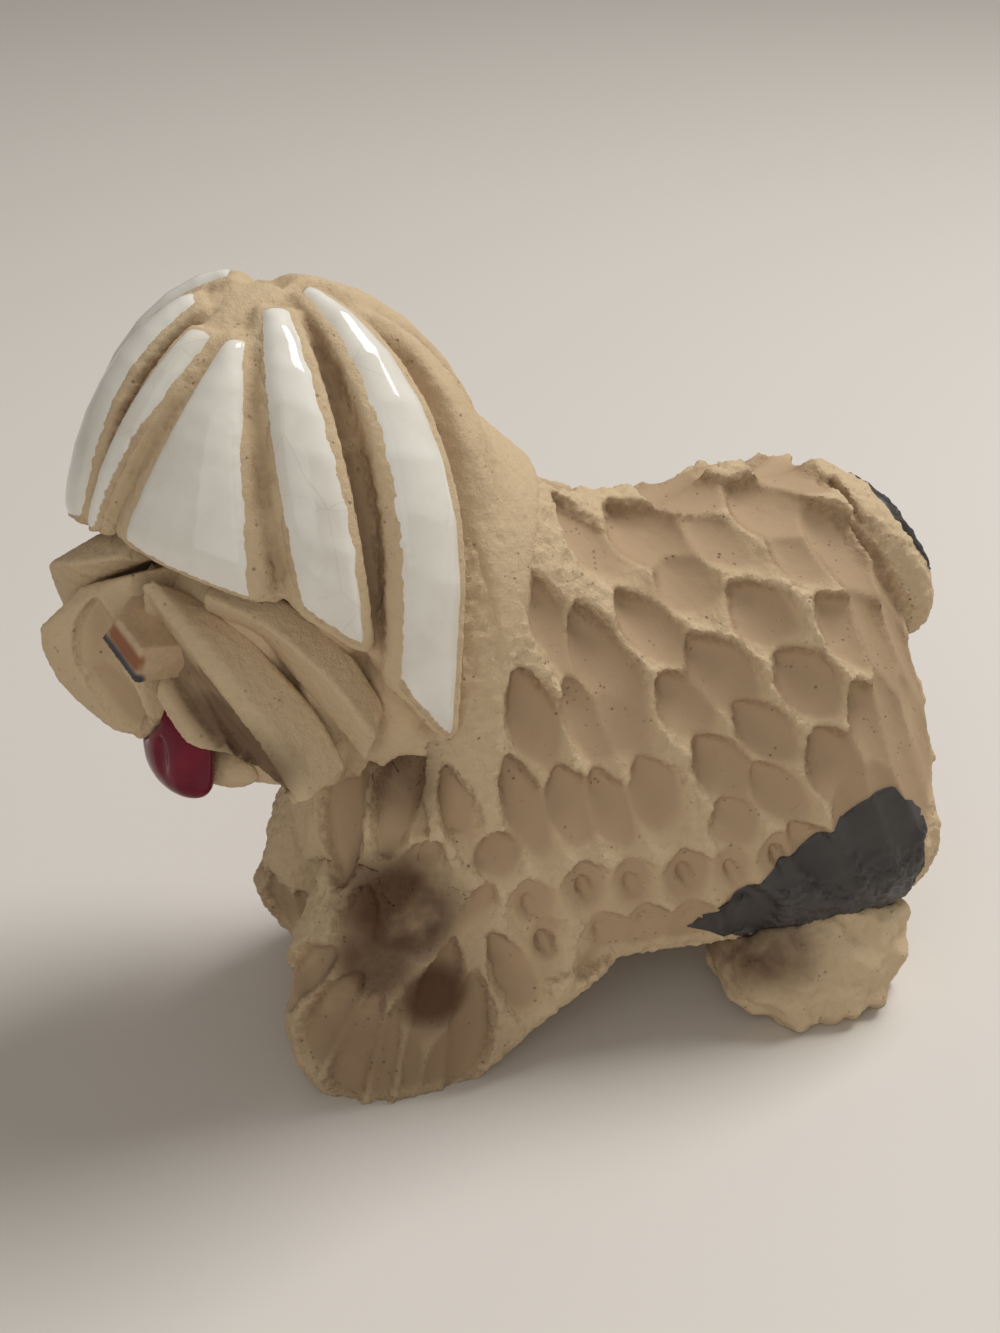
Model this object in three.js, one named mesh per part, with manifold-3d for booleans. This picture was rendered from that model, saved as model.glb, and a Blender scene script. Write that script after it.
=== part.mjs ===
import * as THREE from 'three';
import { mergeVertices } from 'three/addons/utils/BufferGeometryUtils.js';
import Module from 'manifold-3d';

const wasm = await Module();
wasm.setup();

// A carved stoneware dog. Sizes are in millimetres. The dog stands on z = 0 and faces -Y,
// with its left side at +X. The coat is one lump of clay, and the other lumps are luted onto it.

// Coat
const CHEST_Y = -37;
const BODY_LENGTH = 96;
const BODY_WIDTH = 57;
const BACK_HEIGHT = 84;
const COAT_HEM = 12;
const NAPE_RISE = 20;

// Scoops in the coat, along lines that fan out on the unrolled flank from a point ahead of the chest
// and above the spine
const FAN_AHEAD = 27;
const FAN_ABOVE = 94;
const FAN_FROM = THREE.MathUtils.degToRad(36);
const FAN_TO = THREE.MathUtils.degToRad(86);
const SCOOP_STEP = 13.4;
const SCOOP_PITCH = 8.2;
const SCOOP_DEPTH = 2.6;
const SCOOP_FADE = 0.9;
const SCOOP_OVERLAP = 1.5;
const COLLAR_REACH = 36;
const COLLAR_FOOT_REACH = 27;
const HEM_BAND = 18;

// Scoops down the front paws
const TOE_SCOOP_WIDTH = 8.5;
const TOE_SCOOP_DEPTH = 2;
const TOE_SCOOP_FADE = 1.2;

// Clearance between two pieces that lie against each other
const LUTE_GAP = 0.3;

// Head, in a frame turned to the dog's left about the crown
const HEAD_TURN = THREE.MathUtils.degToRad(29);
const CROWN_ADVANCE = 2.5;
const CROWN_ASIDE = -2;
const CROWN_HEIGHT = 117.5;
const DOME_HEIGHT = 38;
const HEAD_WIDTH = 62;
const BROW_REACH = 29;
const NAPE_REACH = 30.5;
const BROW_LIFT = 11.5;
const LOCK_DROP = 18;
const HEM_ARC = 18;
const JAW_DROP = 29;
const FACE_STEP = 5;
const GROOVE_DEPTH = 3.2;

// White locks
const LOCK_GLAZE = 1;
const LOCK_CROWN = 0.9;

// Muzzle
const BROW_TO_MUZZLE = 6.5;
const MOUSTACHE_SPREAD = 23;
const MOUSTACHE_DROP = 26;
const MOUSTACHE_DEPTH = 8;
const MUZZLE_HOLLOW = 3.4;
const RIGHT_FLARE = 8;
const CHEEK_WIDTH = 12;
const CHEEK_DEPTH = 6;
const NOSE_WIDTH = 8;
const NOSE_HEIGHT = 9;
const NOSE_REACH = 5;
const TONGUE_WIDTH = 13.5;
const TONGUE_LENGTH = 16.5;
const TONGUE_DEPTH = 6;
const CHIN_WIDTH = 18;
const CHIN_DEPTH = 12;
const CHIN_HEIGHT = 9;

// Chest locks
const BIB_WIDTH = 50;
const BIB_REACH = 4;
const BIB_DROP = 21.5;
const BIB_SCALLOP = 8;
const BIB_HEIGHT = 33;

// Paws and tail
const FRONT_PAW_WIDTH = 23;
const FRONT_PAW_LENGTH = 32;
const FRONT_LEG_HEIGHT = 42;
const FRONT_PAW_STAGGER = 2;
const FRONT_TOE_TUCK = 6;
const FRONT_PAW_INSET = 2;
const REAR_PAW_WIDTH = 20;
const REAR_PAW_LENGTH = 34;
const REAR_PAW_HEIGHT = 20;
const REAR_PAW_OUTSET = 1.5;
const REAR_PAW_SETBACK = 7.5;
const PAW_OVERHANG = 8;
const TAIL_WIDTH = 20;
const TAIL_THICKNESS = 8;
const TAIL_LENGTH = 30;

// Charcoal glaze
const PATCH_GLAZE = 0.8;
const HAUNCH_PATCH_LENGTH = 46;
const HAUNCH_PATCH_HEIGHT = 28.7;

const CLAY = { color: 0xc9b08a, roughness: 0.85, metalness: 0 };
const CLAY_SHADE = { color: 0xb89a72, roughness: 0.85, metalness: 0 };
const WHITE_GLAZE = { color: 0xeceae4, roughness: 0.18, metalness: 0 };
const CHARCOAL_GLAZE = { color: 0x35312f, roughness: 0.5, metalness: 0 };
const RUBY_GLAZE = { color: 0xb00d2c, roughness: 0.08, metalness: 0 };
const NOSE_STAIN = { color: 0x6b4a36, roughness: 0.6, metalness: 0 };

const REAR_Y = CHEST_Y + BODY_LENGTH;
const CROWN_Y = CHEST_Y - CROWN_ADVANCE;
const EQUATOR = CROWN_HEIGHT - DOME_HEIGHT;
const HEAD_BASE = EQUATOR - JAW_DROP;
const BIB_HEM = HEAD_BASE - BIB_DROP;
const SIDES = { left: 1, right: -1 };

/**
 * Smooth curve through knots.
 * @param {number[][]} knots pairs of place and value, with rising places
 * @returns {(place: number) => number} the value at a place, held level beyond the ends
 */
function profile(knots) {
  const slope = (i) => {
    const before = knots[Math.max(i - 1, 0)];
    const after = knots[Math.min(i + 1, knots.length - 1)];
    return (after[1] - before[1]) / (after[0] - before[0]);
  };
  return (place) => {
    const at = THREE.MathUtils.clamp(place, knots[0][0], knots[knots.length - 1][0]);
    const next = Math.max(knots.findIndex((knot) => knot[0] >= at), 1);
    const [from, low] = knots[next - 1];
    const [to, high] = knots[next];
    const span = to - from;
    const t = (at - from) / span;
    const fromSlope = slope(next - 1) * span;
    const toSlope = slope(next) * span;
    const rise = high - low;
    const square = 3 * rise - 2 * fromSlope - toSlope;
    const cube = fromSlope + toSlope - 2 * rise;
    return low + t * (fromSlope + t * (square + t * cube));
  };
}

/** Evenly spaced values from one end to the other, both included. */
function spread(from, to, steps) {
  return Array.from({ length: steps + 1 }, (_, i) => from + ((to - from) * i) / steps);
}

/** Signed power, which makes superellipses out of sines and cosines. */
function bend(value, exponent) {
  return Math.sign(value) * Math.abs(value) ** exponent;
}

/** Volume of a closed triangle mesh, negative when it is inside out. */
function signedVolume(points, triangles) {
  return triangles.reduce((volume, corners) => {
    const [a, b, c] = corners.map((i) => points[i]);
    return volume + a.dot(b.clone().cross(c)) / 6;
  }, 0);
}

/** Points of a closed mesh moved out so that its faces stand off by the given amount. */
function swollen(points, triangles, grow) {
  const normals = points.map(() => []);
  triangles.forEach((corners) => {
    const [a, b, c] = corners.map((i) => points[i]);
    const normal = b.clone().sub(a).cross(c.clone().sub(a)).normalize();
    corners.forEach((i) => normals[i].push(normal));
  });
  return points.map((point, i) => {
    const out = normals[i].reduce((sum, normal) => sum.add(normal), new THREE.Vector3()).normalize();
    const lean = Math.min(...normals[i].map((normal) => normal.dot(out)));
    return point.clone().addScaledVector(out, grow / Math.max(lean, 0.4));
  });
}

/** Closed body from points and triangles, turned so that its faces look outwards. */
function closedBody(points, triangles, grow = 0) {
  const outward = signedVolume(points, triangles) > 0;
  const faces = triangles.map(([a, b, c]) => (outward ? [a, b, c] : [a, c, b]));
  const placed = grow > 0 ? swollen(points, faces, grow) : points;
  const mesh = new wasm.Mesh({
    numProp: 3,
    vertProperties: new Float32Array(placed.flatMap((point) => [point.x, point.y, point.z])),
    triVerts: new Uint32Array(faces.flat()),
  });
  return new wasm.Manifold(mesh);
}

/**
 * Body skinned over a row of closed rings, with both ends closed by fans.
 * @param {THREE.Vector3[][]} rings rings of equal point count
 */
function loft(rings) {
  const count = rings[0].length;
  const points = rings.flat();
  const triangles = [];
  rings.slice(1).forEach((_, r) => {
    for (let i = 0; i < count; i += 1) {
      const a = r * count + i;
      const b = r * count + ((i + 1) % count);
      triangles.push([a, b, a + count], [b, b + count, a + count]);
    }
  });
  [0, rings.length - 1].forEach((r) => {
    const centre = rings[r].reduce((sum, point) => sum.add(point), new THREE.Vector3()).divideScalar(count);
    points.push(centre);
    for (let i = 0; i < count; i += 1) {
      const a = r * count + i;
      const b = r * count + ((i + 1) % count);
      triangles.push(r === 0 ? [points.length - 1, b, a] : [points.length - 1, a, b]);
    }
  });
  return closedBody(points, triangles);
}

/** Body between two matching grids of points, an inner one and an outer one. */
function pad(inner, outer, grow = 0) {
  const rows = inner.length;
  const columns = inner[0].length;
  const half = rows * columns;
  const at = (layer, r, c) => layer * half + r * columns + c;
  const triangles = [];
  const quad = (a, b, c, d) => triangles.push([a, b, c], [a, c, d]);
  for (let r = 0; r < rows - 1; r += 1) {
    for (let c = 0; c < columns - 1; c += 1) {
      quad(at(0, r, c), at(0, r + 1, c), at(0, r + 1, c + 1), at(0, r, c + 1));
      quad(at(1, r, c), at(1, r, c + 1), at(1, r + 1, c + 1), at(1, r + 1, c));
    }
    quad(at(0, r, 0), at(1, r, 0), at(1, r + 1, 0), at(0, r + 1, 0));
    quad(at(0, r + 1, columns - 1), at(1, r + 1, columns - 1), at(1, r, columns - 1), at(0, r, columns - 1));
  }
  for (let c = 0; c < columns - 1; c += 1) {
    quad(at(0, 0, c + 1), at(1, 0, c + 1), at(1, 0, c), at(0, 0, c));
    quad(at(0, rows - 1, c), at(1, rows - 1, c), at(1, rows - 1, c + 1), at(0, rows - 1, c + 1));
  }
  return closedBody([...inner.flat(), ...outer.flat()], triangles, grow);
}

/** Body swept along a curve with an elliptic section. */
function sweep(curve, { width, depth, facing, steps = 9, sides = 16, grow = 0 }) {
  const rings = spread(0, 1, steps).map((s) => {
    const centre = curve.getPoint(s);
    const along = curve.getTangent(s);
    if (s === 0) centre.addScaledVector(along, -grow);
    if (s === 1) centre.addScaledVector(along, grow);
    const out = facing.clone().addScaledVector(along, -facing.dot(along)).normalize();
    const across = along.clone().cross(out);
    return spread(0, 2 * Math.PI, sides).slice(0, -1).map((turn) => centre
      .clone()
      .addScaledVector(across, (width(s) / 2 + grow) * Math.cos(turn))
      .addScaledVector(out, (depth(s) / 2 + grow) * Math.sin(turn)));
  });
  return loft(rings);
}

/** Geometry from three.js as a body for adding and cutting. */
function body(geometry) {
  const bare = geometry.clone();
  bare.deleteAttribute('normal');
  bare.deleteAttribute('uv');
  const merged = mergeVertices(bare);
  return new wasm.Manifold(new wasm.Mesh({
    numProp: 3,
    vertProperties: new Float32Array(merged.attributes.position.array),
    triVerts: new Uint32Array(merged.index.array),
  }));
}

/** The largest connected lump of a body that a cut may have left in crumbs. */
function mainLump(solid) {
  return solid.decompose().reduce((best, lump) => (lump.volume() > best.volume() ? lump : best));
}

/** A body with its neighbours taken out of it. */
function cutBy(solid, ...neighbours) {
  return mainLump(neighbours.reduce((rest, neighbour) => rest.subtract(neighbour), solid));
}

/** The mirror image of a body across the dog's middle plane. */
function onSide(solid, side) {
  return side > 0 ? solid : solid.mirror([1, 0, 0]);
}

/** A body as a named mesh with a finish of its own. */
function piece(name, solid, finish) {
  const { vertProperties, triVerts, numProp } = solid.getMesh();
  if (numProp !== 3) throw new Error(`${name} carries more than positions`);
  const geometry = new THREE.BufferGeometry();
  geometry.setAttribute('position', new THREE.BufferAttribute(vertProperties, 3));
  geometry.setIndex(new THREE.BufferAttribute(triVerts, 1));
  geometry.computeVertexNormals();
  const mesh = new THREE.Mesh(geometry, new THREE.MeshStandardMaterial(finish));
  mesh.name = name;
  return mesh;
}

// Coat: shares of the width and height along the body, from the chest to the rear

const coatWidth = profile([
  [0, 0.36], [0.07, 0.76], [0.18, 0.88], [0.33, 0.91], [0.5, 0.93],
  [0.66, 0.98], [0.8, 1], [0.9, 0.93], [0.97, 0.75], [1, 0.42],
]);
const coatTop = profile([
  [0, 0.66], [0.07, 0.85], [0.18, 0.96], [0.33, 0.99], [0.5, 0.975], [0.65, 1],
  [0.77, 1], [0.82, 0.96], [0.9, 0.81], [0.97, 0.5], [1, 0.34],
]);
const coatBelly = profile([
  [0, 0.35], [0.07, 0.1], [0.18, 0.03], [0.33, 0], [0.8, 0], [0.9, 0.03], [0.97, 0.12], [1, 0.24],
]);
const napeRise = profile([
  [0, 0], [0.07, 0.3], [0.13, 0.9], [0.2, 0.9], [0.28, 0.5], [0.33, 0.27], [0.38, 0.06], [0.44, 0],
]);
const COAT_WIDEST = 0.3;
const COAT_ARCH = 2.1;
const COAT_SKIRT = 3.2;

/**
 * Point on the skin of the uncarved trunk.
 * @param {number} u share of the way from the chest to the rear
 * @param {number} turn angle round the trunk, from the left flank at 0 up over the spine
 * @param {number} grow distance by which the trunk is made larger all round
 */
function coatPoint(u, turn, grow = 0) {
  const height = BACK_HEIGHT - COAT_HEM;
  const half = (BODY_WIDTH / 2) * coatWidth(u) + grow;
  const top = COAT_HEM + height * coatTop(u) + NAPE_RISE * napeRise(u) + grow;
  const belly = COAT_HEM + height * coatBelly(u) - grow;
  const widest = belly + COAT_WIDEST * (top - belly);
  const up = Math.sin(turn) > 0;
  const power = 2 / (up ? COAT_ARCH : COAT_SKIRT);
  const reach = up ? top - widest : widest - belly;
  return new THREE.Vector3(
    half * bend(Math.cos(turn), power),
    CHEST_Y - grow + u * (BODY_LENGTH + 2 * grow),
    widest + reach * bend(Math.sin(turn), power),
  );
}

/** The uncarved trunk, made larger all round by the given amount. */
function coat(grow = 0) {
  const turns = spread(0, 2 * Math.PI, 40).slice(0, -1);
  return loft(spread(0, 1, 24).map((u) => turns.map((turn) => coatPoint(u, turn, grow))));
}

// Carving: each scoop is cut by a loop tool that bites in steeply under a pointed arch and then fades out

const TOOL_STATIONS = [-0.96, -0.5, 0, 1];
const TOOL_FACETS = 5;
const TOOL_SHOULDER = 0.8;
const TOOL_LIFT = 0.25;
const TOOL_POINT = 2.1;
const TOOL_BITE = 7;

/**
 * The clay that one scoop takes away.
 * @param {{place: THREE.Vector3, normal: THREE.Vector3}} start where the tool bites in
 * @param {{place: THREE.Vector3, normal: THREE.Vector3}} end where it fades out
 */
function scoop(start, end, { width, depth, fade }) {
  const normal = start.normal.clone().add(end.normal).normalize();
  const deep = start.place.clone().addScaledVector(normal, -depth);
  const shallow = end.place.clone().addScaledVector(normal, -fade);
  const along = shallow.clone().sub(deep).normalize();
  const across = normal.clone().cross(along).normalize();
  const up = along.clone().cross(across);
  const tall = depth / (1 - TOOL_LIFT);
  const wide = width / 2 / Math.sqrt(1 - TOOL_LIFT ** 2);
  const reach = deep.distanceTo(shallow) / 2 / TOOL_SHOULDER;
  const centre = deep.clone().lerp(shallow, 0.5).addScaledVector(up, tall);
  const rings = TOOL_STATIONS.map((station) => {
    const back = Math.max(-station, 0);
    const girth = 1 - back ** TOOL_POINT;
    const sag = Math.sqrt(1 - back ** TOOL_BITE);
    const turns = spread(Math.PI, 2 * Math.PI, TOOL_FACETS);
    const floor = turns.map((turn) => [girth * Math.cos(turn), sag * Math.sin(turn)]);
    return [...floor, [girth, 1], [-girth, 1]].map(([aside, rise]) => centre.clone()
      .addScaledVector(along, station * reach)
      .addScaledVector(across, aside * wide)
      .addScaledVector(up, rise * tall));
  });
  return loft(rings);
}

/** Scattered value from -1 to 1 for each count, the same every time. */
function jitter(count, stride) {
  return 2 * ((count * stride) % 1) - 1;
}
const STRIDES = [0.618034, 0.754878, 0.56984];
const SCATTER = { place: 0.16, way: 0.09, run: 0.1, width: 0.14, depth: 0.2 };
const SCOOP_RUN = 1.12;
const PITCH_AT = 1.65;

// Scoops over the rump: where each bites in and where it fades out, as shares of the length and of half a
// turn up from the flank, and its width as a share of the pitch
const RUMP_SCOOPS = [
  [0.9, 0.26, 0.945, 0.14, 1.3], [0.925, 0.13, 0.96, 0.02, 1.3], [0.955, 0.2, 0.98, 0.06, 1.3],
  [0.965, 0.04, 0.985, -0.1, 1.3], [0.93, 0.0, 0.955, -0.1, 1.2], [0.985, 0.24, 0.992, 0.08, 1.3],
];

/** Place and normal on the skin of the uncarved trunk. */
function onCoat(u, turn) {
  const rearward = coatPoint(u + 0.005, turn).sub(coatPoint(u - 0.005, turn));
  const upward = coatPoint(u, turn + 0.01).sub(coatPoint(u, turn - 0.01));
  return { place: coatPoint(u, turn), normal: rearward.cross(upward).normalize() };
}

/** Place and normal on the left flank, at a distance along the dog and an arc down from the spine. */
function flank(y, arc) {
  const u = (y - CHEST_Y) / BODY_LENGTH;
  if (u < 0.01 || u > RUMP_SHARE || arc < 0) return null;
  const turns = spread(Math.PI / 2, -Math.PI / 3, 60);
  let walked = 0;
  for (let i = 1; i < turns.length; i += 1) {
    const step = coatPoint(u, turns[i - 1]).distanceTo(coatPoint(u, turns[i]));
    if (walked + step >= arc) {
      return onCoat(u, THREE.MathUtils.lerp(turns[i - 1], turns[i], (arc - walked) / step));
    }
    walked += step;
  }
  return null;
}

const SHARPEST_TURN = 0.72;
const RUMP_SHARE = 0.96;

/** Whether a scoop lies behind the smooth collar and above the hem. */
function onFlank(start, end) {
  const away = Math.hypot(start.place.x - CROWN_ASIDE, start.place.y - CROWN_Y);
  const rise = THREE.MathUtils.clamp((start.place.z - 0.41 * CROWN_HEIGHT) / (0.2 * CROWN_HEIGHT), 0, 1);
  const collar = THREE.MathUtils.lerp(COLLAR_FOOT_REACH, COLLAR_REACH, rise);
  return away > collar && end.place.z > COAT_HEM + HEM_BAND && start.normal.dot(end.normal) > SHARPEST_TURN;
}

/** Place where a scoop ends that runs over the flank, which is cut short where the flank turns sharply. */
function scoopEnd(start, y, arc, way, run) {
  const at = (share) => flank(y + share * run * Math.cos(way), arc + share * run * Math.sin(way));
  const end = at(1);
  return start && end && start.normal.dot(end.normal) > SHARPEST_TURN ? end : at(0.55);
}

/** All scoops of the coat, on both sides. */
function coatScoops() {
  const spacing = SCOOP_PITCH / (PITCH_AT * FAN_ABOVE);
  const lines = Math.round((FAN_TO - FAN_FROM) / spacing);
  const source = CHEST_Y - FAN_AHEAD;
  const scoops = [];
  let count = 0;
  Object.values(SIDES).forEach((side) => {
    for (let line = 0; line <= lines; line += 1) {
      const turn = FAN_FROM + spacing * line;
      const first = FAN_ABOVE / Math.sin(turn) + (0.22 + 0.5 * (line % 2)) * SCOOP_STEP;
      for (let reach = first; reach < 2.75 * FAN_ABOVE; reach += SCOOP_STEP) {
        count += 1;
        const [one, two, three] = STRIDES.map((stride) => jitter(count, stride));
        const out = reach + SCATTER.place * two * SCOOP_STEP;
        const lean = turn + (SCATTER.place * one * SCOOP_PITCH) / reach;
        const y = source + out * Math.cos(lean);
        const arc = out * Math.sin(lean) - FAN_ABOVE;
        const way = turn + SCATTER.way * three;
        const run = SCOOP_STEP * (SCOOP_RUN + SCATTER.run * one);
        const start = flank(y, arc);
        const end = scoopEnd(start, y, arc, way, run);
        if (start && end && onFlank(start, end)) {
          const width = SCOOP_OVERLAP * spacing * out * (1 + SCATTER.width * three);
          const depth = SCOOP_DEPTH * (1 + SCATTER.depth * two);
          scoops.push(onSide(scoop(start, end, { width, depth, fade: SCOOP_FADE }), side));
        }
      }
    }
  });
  return scoops;
}

/** Scoops that run down over the rump, on both sides. */
function rumpScoops() {
  const size = { depth: SCOOP_DEPTH, fade: SCOOP_FADE };
  return Object.values(SIDES).flatMap((side) => RUMP_SCOOPS.map(([from, fromTurn, to, toTurn, width]) => {
    const [start, end] = [[from, fromTurn], [to, toTurn]].map(([u, turn]) => onCoat(u, turn * Math.PI));
    return onSide(scoop(start, end, { ...size, width: width * SCOOP_PITCH }), side);
  }));
}

/** The carved trunk, left whole under the pieces that lie on it. */
function carvedCoat(covers) {
  const covered = covers.reduce((all, cover) => all.add(cover));
  const scoops = [...coatScoops(), ...rumpScoops()];
  return cutBy(coat(), ...scoops.filter((cut) => covered.intersect(cut).isEmpty()));
}

// Head: angles run from the brow at 0 round to the nape at 180 degrees, to the left above zero and to
// the right below it. Each pair of angles is a line combed from the crown down to the hem.

const LOCKS = {
  front_left: { start: 27, inner: [35, -2], outer: [29, 45.5], hem: [0.6, -0.9] },
  middle_left: { start: 17, inner: [33, 50], outer: [62, 68.5], hem: [2.4, 0.6] },
  rear_left: { start: 11, inner: [82, 75], outer: [108, 90], hem: [0, 0] },
  front_right: { start: 26, inner: [28, -8], outer: [0, -15], hem: [0.3, -0.5] },
  middle_right: { start: 20, inner: [-22, -18], outer: [-50, -47], hem: [1, -0.8] },
  rear_right: { start: 11, inner: [-60, -53], outer: [-88, -78], hem: [1, 0] },
};
const GROOVES = [
  { line: [32, -5], half: 4 },
  { line: [31, 48], half: 4.5 },
  { line: [72, 72], half: 5 },
  { line: [118, 101], half: 8 },
  { line: [142, 142], half: 6 },
  { line: [-11, -16.5], half: 4 },
  { line: [-55, -50], half: 4.5 },
  { line: [-98, -88], half: 8 },
  { line: [-130, -130], half: 6 },
];
const hemHeight = profile([
  [0, BROW_LIFT], [45, 0.5 * BROW_LIFT], [69, -0.15 * LOCK_DROP], [76, -0.45 * LOCK_DROP], [90, -LOCK_DROP],
  [112, -0.8 * LOCK_DROP - 0.2 * JAW_DROP], [180, -0.8 * LOCK_DROP - 0.2 * JAW_DROP],
]);
const faceStep = profile([[0, 1], [70, 0.9], [90, 0.5], [110, 0.15], [180, 0.1]]);
const BROW_ROUNDNESS = 1.75;

/** Angle of a combed line at a share of the way from the crown to the hem. */
function combed([crown, hem], share) {
  return THREE.MathUtils.lerp(crown, hem, share);
}

/** Reach of the dome from the crown axis at its widest level. */
function domeReach(angle) {
  const radians = THREE.MathUtils.degToRad(angle);
  const ahead = Math.cos(radians);
  const depth = ahead > 0 ? BROW_REACH : NAPE_REACH;
  const power = ahead > 0 ? BROW_ROUNDNESS : 2;
  const sum = Math.abs(ahead / depth) ** power + Math.abs(Math.sin(radians) / (HEAD_WIDTH / 2)) ** power;
  return sum ** (-1 / power);
}

/** Fall angle from the crown at which the dome ends at its hem. */
function hemFall(angle) {
  const lift = hemHeight(Math.abs(angle));
  const below = (HEM_ARC * Math.max(-lift, 0)) / LOCK_DROP;
  return lift >= 0 ? THREE.MathUtils.radToDeg(Math.acos(lift / DOME_HEIGHT)) : 90 + below;
}

/** Depth of the combed grooves, nothing at the crown and full lower down. */
function grooveDepth(angle, fall) {
  const share = Math.min(fall / hemFall(angle), 1);
  const depth = GROOVES.reduce((deepest, { line, half }) => {
    const off = (angle - combed(line, share)) / half;
    return Math.max(deepest, 1 - off * off);
  }, 0);
  return GROOVE_DEPTH * depth * THREE.MathUtils.smoothstep(fall, 8, 30);
}

/** Point of the head at an angle round the crown and at a reach and height, in the head frame. */
function headPoint(angle, reach, z) {
  const radians = THREE.MathUtils.degToRad(angle);
  return new THREE.Vector3(reach * Math.sin(radians), -reach * Math.cos(radians), z);
}

/**
 * Point on the dome. Below the widest level the fall goes on straight down, HEM_ARC degrees for LOCK_DROP.
 * @param {number} lift distance above the clay surface
 */
function domePoint(angle, fall, lift = 0) {
  const radians = THREE.MathUtils.degToRad(Math.min(fall, 90));
  const drop = (LOCK_DROP * Math.max(fall - 90, 0)) / HEM_ARC;
  const reach = domeReach(angle) * Math.sin(radians) - grooveDepth(angle, fall) + lift * Math.sin(radians);
  const z = EQUATOR + (DOME_HEIGHT + lift) * Math.cos(radians) - drop;
  return headPoint(angle, reach, z);
}

/** The head in its own frame, made larger all round by the given amount. */
function head(grow = 0) {
  const angles = spread(-180, 180, 96).slice(0, -1);
  const domeRings = spread(0.04, 0.95, 9).map((share) => angles.map(
    (angle) => domePoint(angle, share * hemFall(angle), grow),
  ));
  const lowerRings = [[0, 0, 1], [0, 1, 1], [0.45, 1, 0.94], [1, 1, 0.72]].map(
    ([down, step, share]) => angles.map((angle) => {
      const hem = domePoint(angle, hemFall(angle));
      const inset = step * FACE_STEP * faceStep(Math.abs(angle));
      const reach = (Math.hypot(hem.x, hem.y) - inset) * share + grow;
      return headPoint(angle, reach, THREE.MathUtils.lerp(hem.z, HEAD_BASE, down) - grow);
    }),
  );
  return loft([...domeRings, ...lowerRings]);
}

/**
 * One glazed lock, a crowned pad laid over a ridge of the dome.
 * @param {number[]} hem degrees of fall by which the two lower corners stop short of the hem of the dome
 */
function whiteLock({ start, inner, outer, hem }) {
  const surface = (lift) => spread(0, 1, 8).map((down) => spread(0, 1, 7).map((across) => {
    const foot = combed([inner[1], outer[1]], across);
    const end = hemFall(foot) - combed(hem, across);
    const fall = THREE.MathUtils.lerp(start, end, down);
    const angle = combed([combed(inner, fall / end), combed(outer, fall / end)], across);
    const swell = 4 * across * (1 - across);
    return domePoint(angle, fall, lift(swell));
  }));
  return pad(surface(() => -LOCK_GLAZE), surface((swell) => LUTE_GAP + LOCK_GLAZE + LOCK_CROWN * swell));
}

// Muzzle pieces, in the head frame and on the dog's left side

const FORWARD = new THREE.Vector3(0, -1, 0);
const MUZZLE_Y = -BROW_REACH;
const MUZZLE_TOP = EQUATOR + BROW_LIFT - BROW_TO_MUZZLE;
const MOUTH_HEIGHT = MUZZLE_TOP - 0.72 * MOUSTACHE_DROP;

// Edges of the carved petals, as shares of the moustache's spread, depth and drop
const LIP_EDGE = [
  [0.01, 0.4, 0.67], [0.26, 0.43, 0.85], [0.52, 0.65, 0.88], [0.74, 0.98, 0.98], [0.93, 1.19, 1.12],
];
const CREST_EDGE = [
  [0.01, 0.25, 0], [0.37, 0.4, 0.23], [0.61, 0.62, 0.51], [0.8, 0.92, 0.82], [0.965, 1.15, 1.09],
];
const CHEEK_EDGE = [
  [0.13, 0.5, -0.07], [0.43, 0.74, 0.02], [0.74, 1.19, 0.13], [0.93, 1.54, 0.28], [1.065, 1.94, 0.5],
  [1.13, 2.47, 0.83],
];
const NOSE_FRONT = [[0.175, 0.8], [1.275, 0.156], [0.775, -1.18], [-0.85, -0.2]];
const NOSE_ROOT = [[-0.75, 1.67], [1.8, -0.33], [1, -1.67], [-1.25, -0.11]];
const LEAF_EDGE = [
  [0.022, 0.3, 0], [0.174, 0.44, 0.07], [0.39, 0.04, 0.14], [0.52, -0.33, 0.335], [0.61, -0.405, 0.39],
  [0.665, -0.33, 0.52], [0.674, -0.27, 0.6], [0.674, -0.12, 0.755], [0.61, 0.125, 0.885], [0.52, 0.19, 0.95],
  [0.39, 0.36, 1.04], [0.217, 0.54, 1.06], [0.043, 0.375, 0.865], [0.043, 0.3, 0.4],
];
const MUZZLE_STEPS = 9;

/** A point moved straight in towards the crown axis, and up. */
function movedIn(point, inward, up = 0) {
  const flat = new THREE.Vector3(point.x, point.y, 0).normalize();
  return point.clone().addScaledVector(flat, -inward).setZ(point.z + up);
}

/** Points along a carved edge of one side, which flares further ahead on the right. */
function petalEdge(stations, side) {
  const flare = side > 0 ? 0 : RIGHT_FLARE;
  const curve = new THREE.CatmullRomCurve3(stations.map(([aside, inset, drop]) => new THREE.Vector3(
    aside * MOUSTACHE_SPREAD,
    MUZZLE_Y + inset * MOUSTACHE_DEPTH - flare * Math.min(1.7 * aside, 1),
    MUZZLE_TOP - drop * MOUSTACHE_DROP,
  )));
  return spread(0, 1, MUZZLE_STEPS).map((s) => curve.getPoint(s));
}

/** The hollow between two carved edges. */
function hollow(edge, other) {
  return edge.map((point, i) => movedIn(point.clone().lerp(other[i], 0.5), MUZZLE_HOLLOW));
}

/** Petal with carved rows outside, reaching in as far as the middle of the head. */
function petal(rows, grow) {
  return pad(rows.map((row) => row.map((point) => movedIn(point, BROW_REACH / 2))), rows, grow);
}

/** Everything to the left of the parting, short of it by half a lute gap. */
function leftOfParting() {
  const room = new THREE.BoxGeometry(2 * HEAD_WIDTH, 3 * HEAD_WIDTH, 3 * CROWN_HEIGHT);
  room.translate(HEAD_WIDTH + LUTE_GAP / 2, 0, 0);
  return body(room);
}

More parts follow.
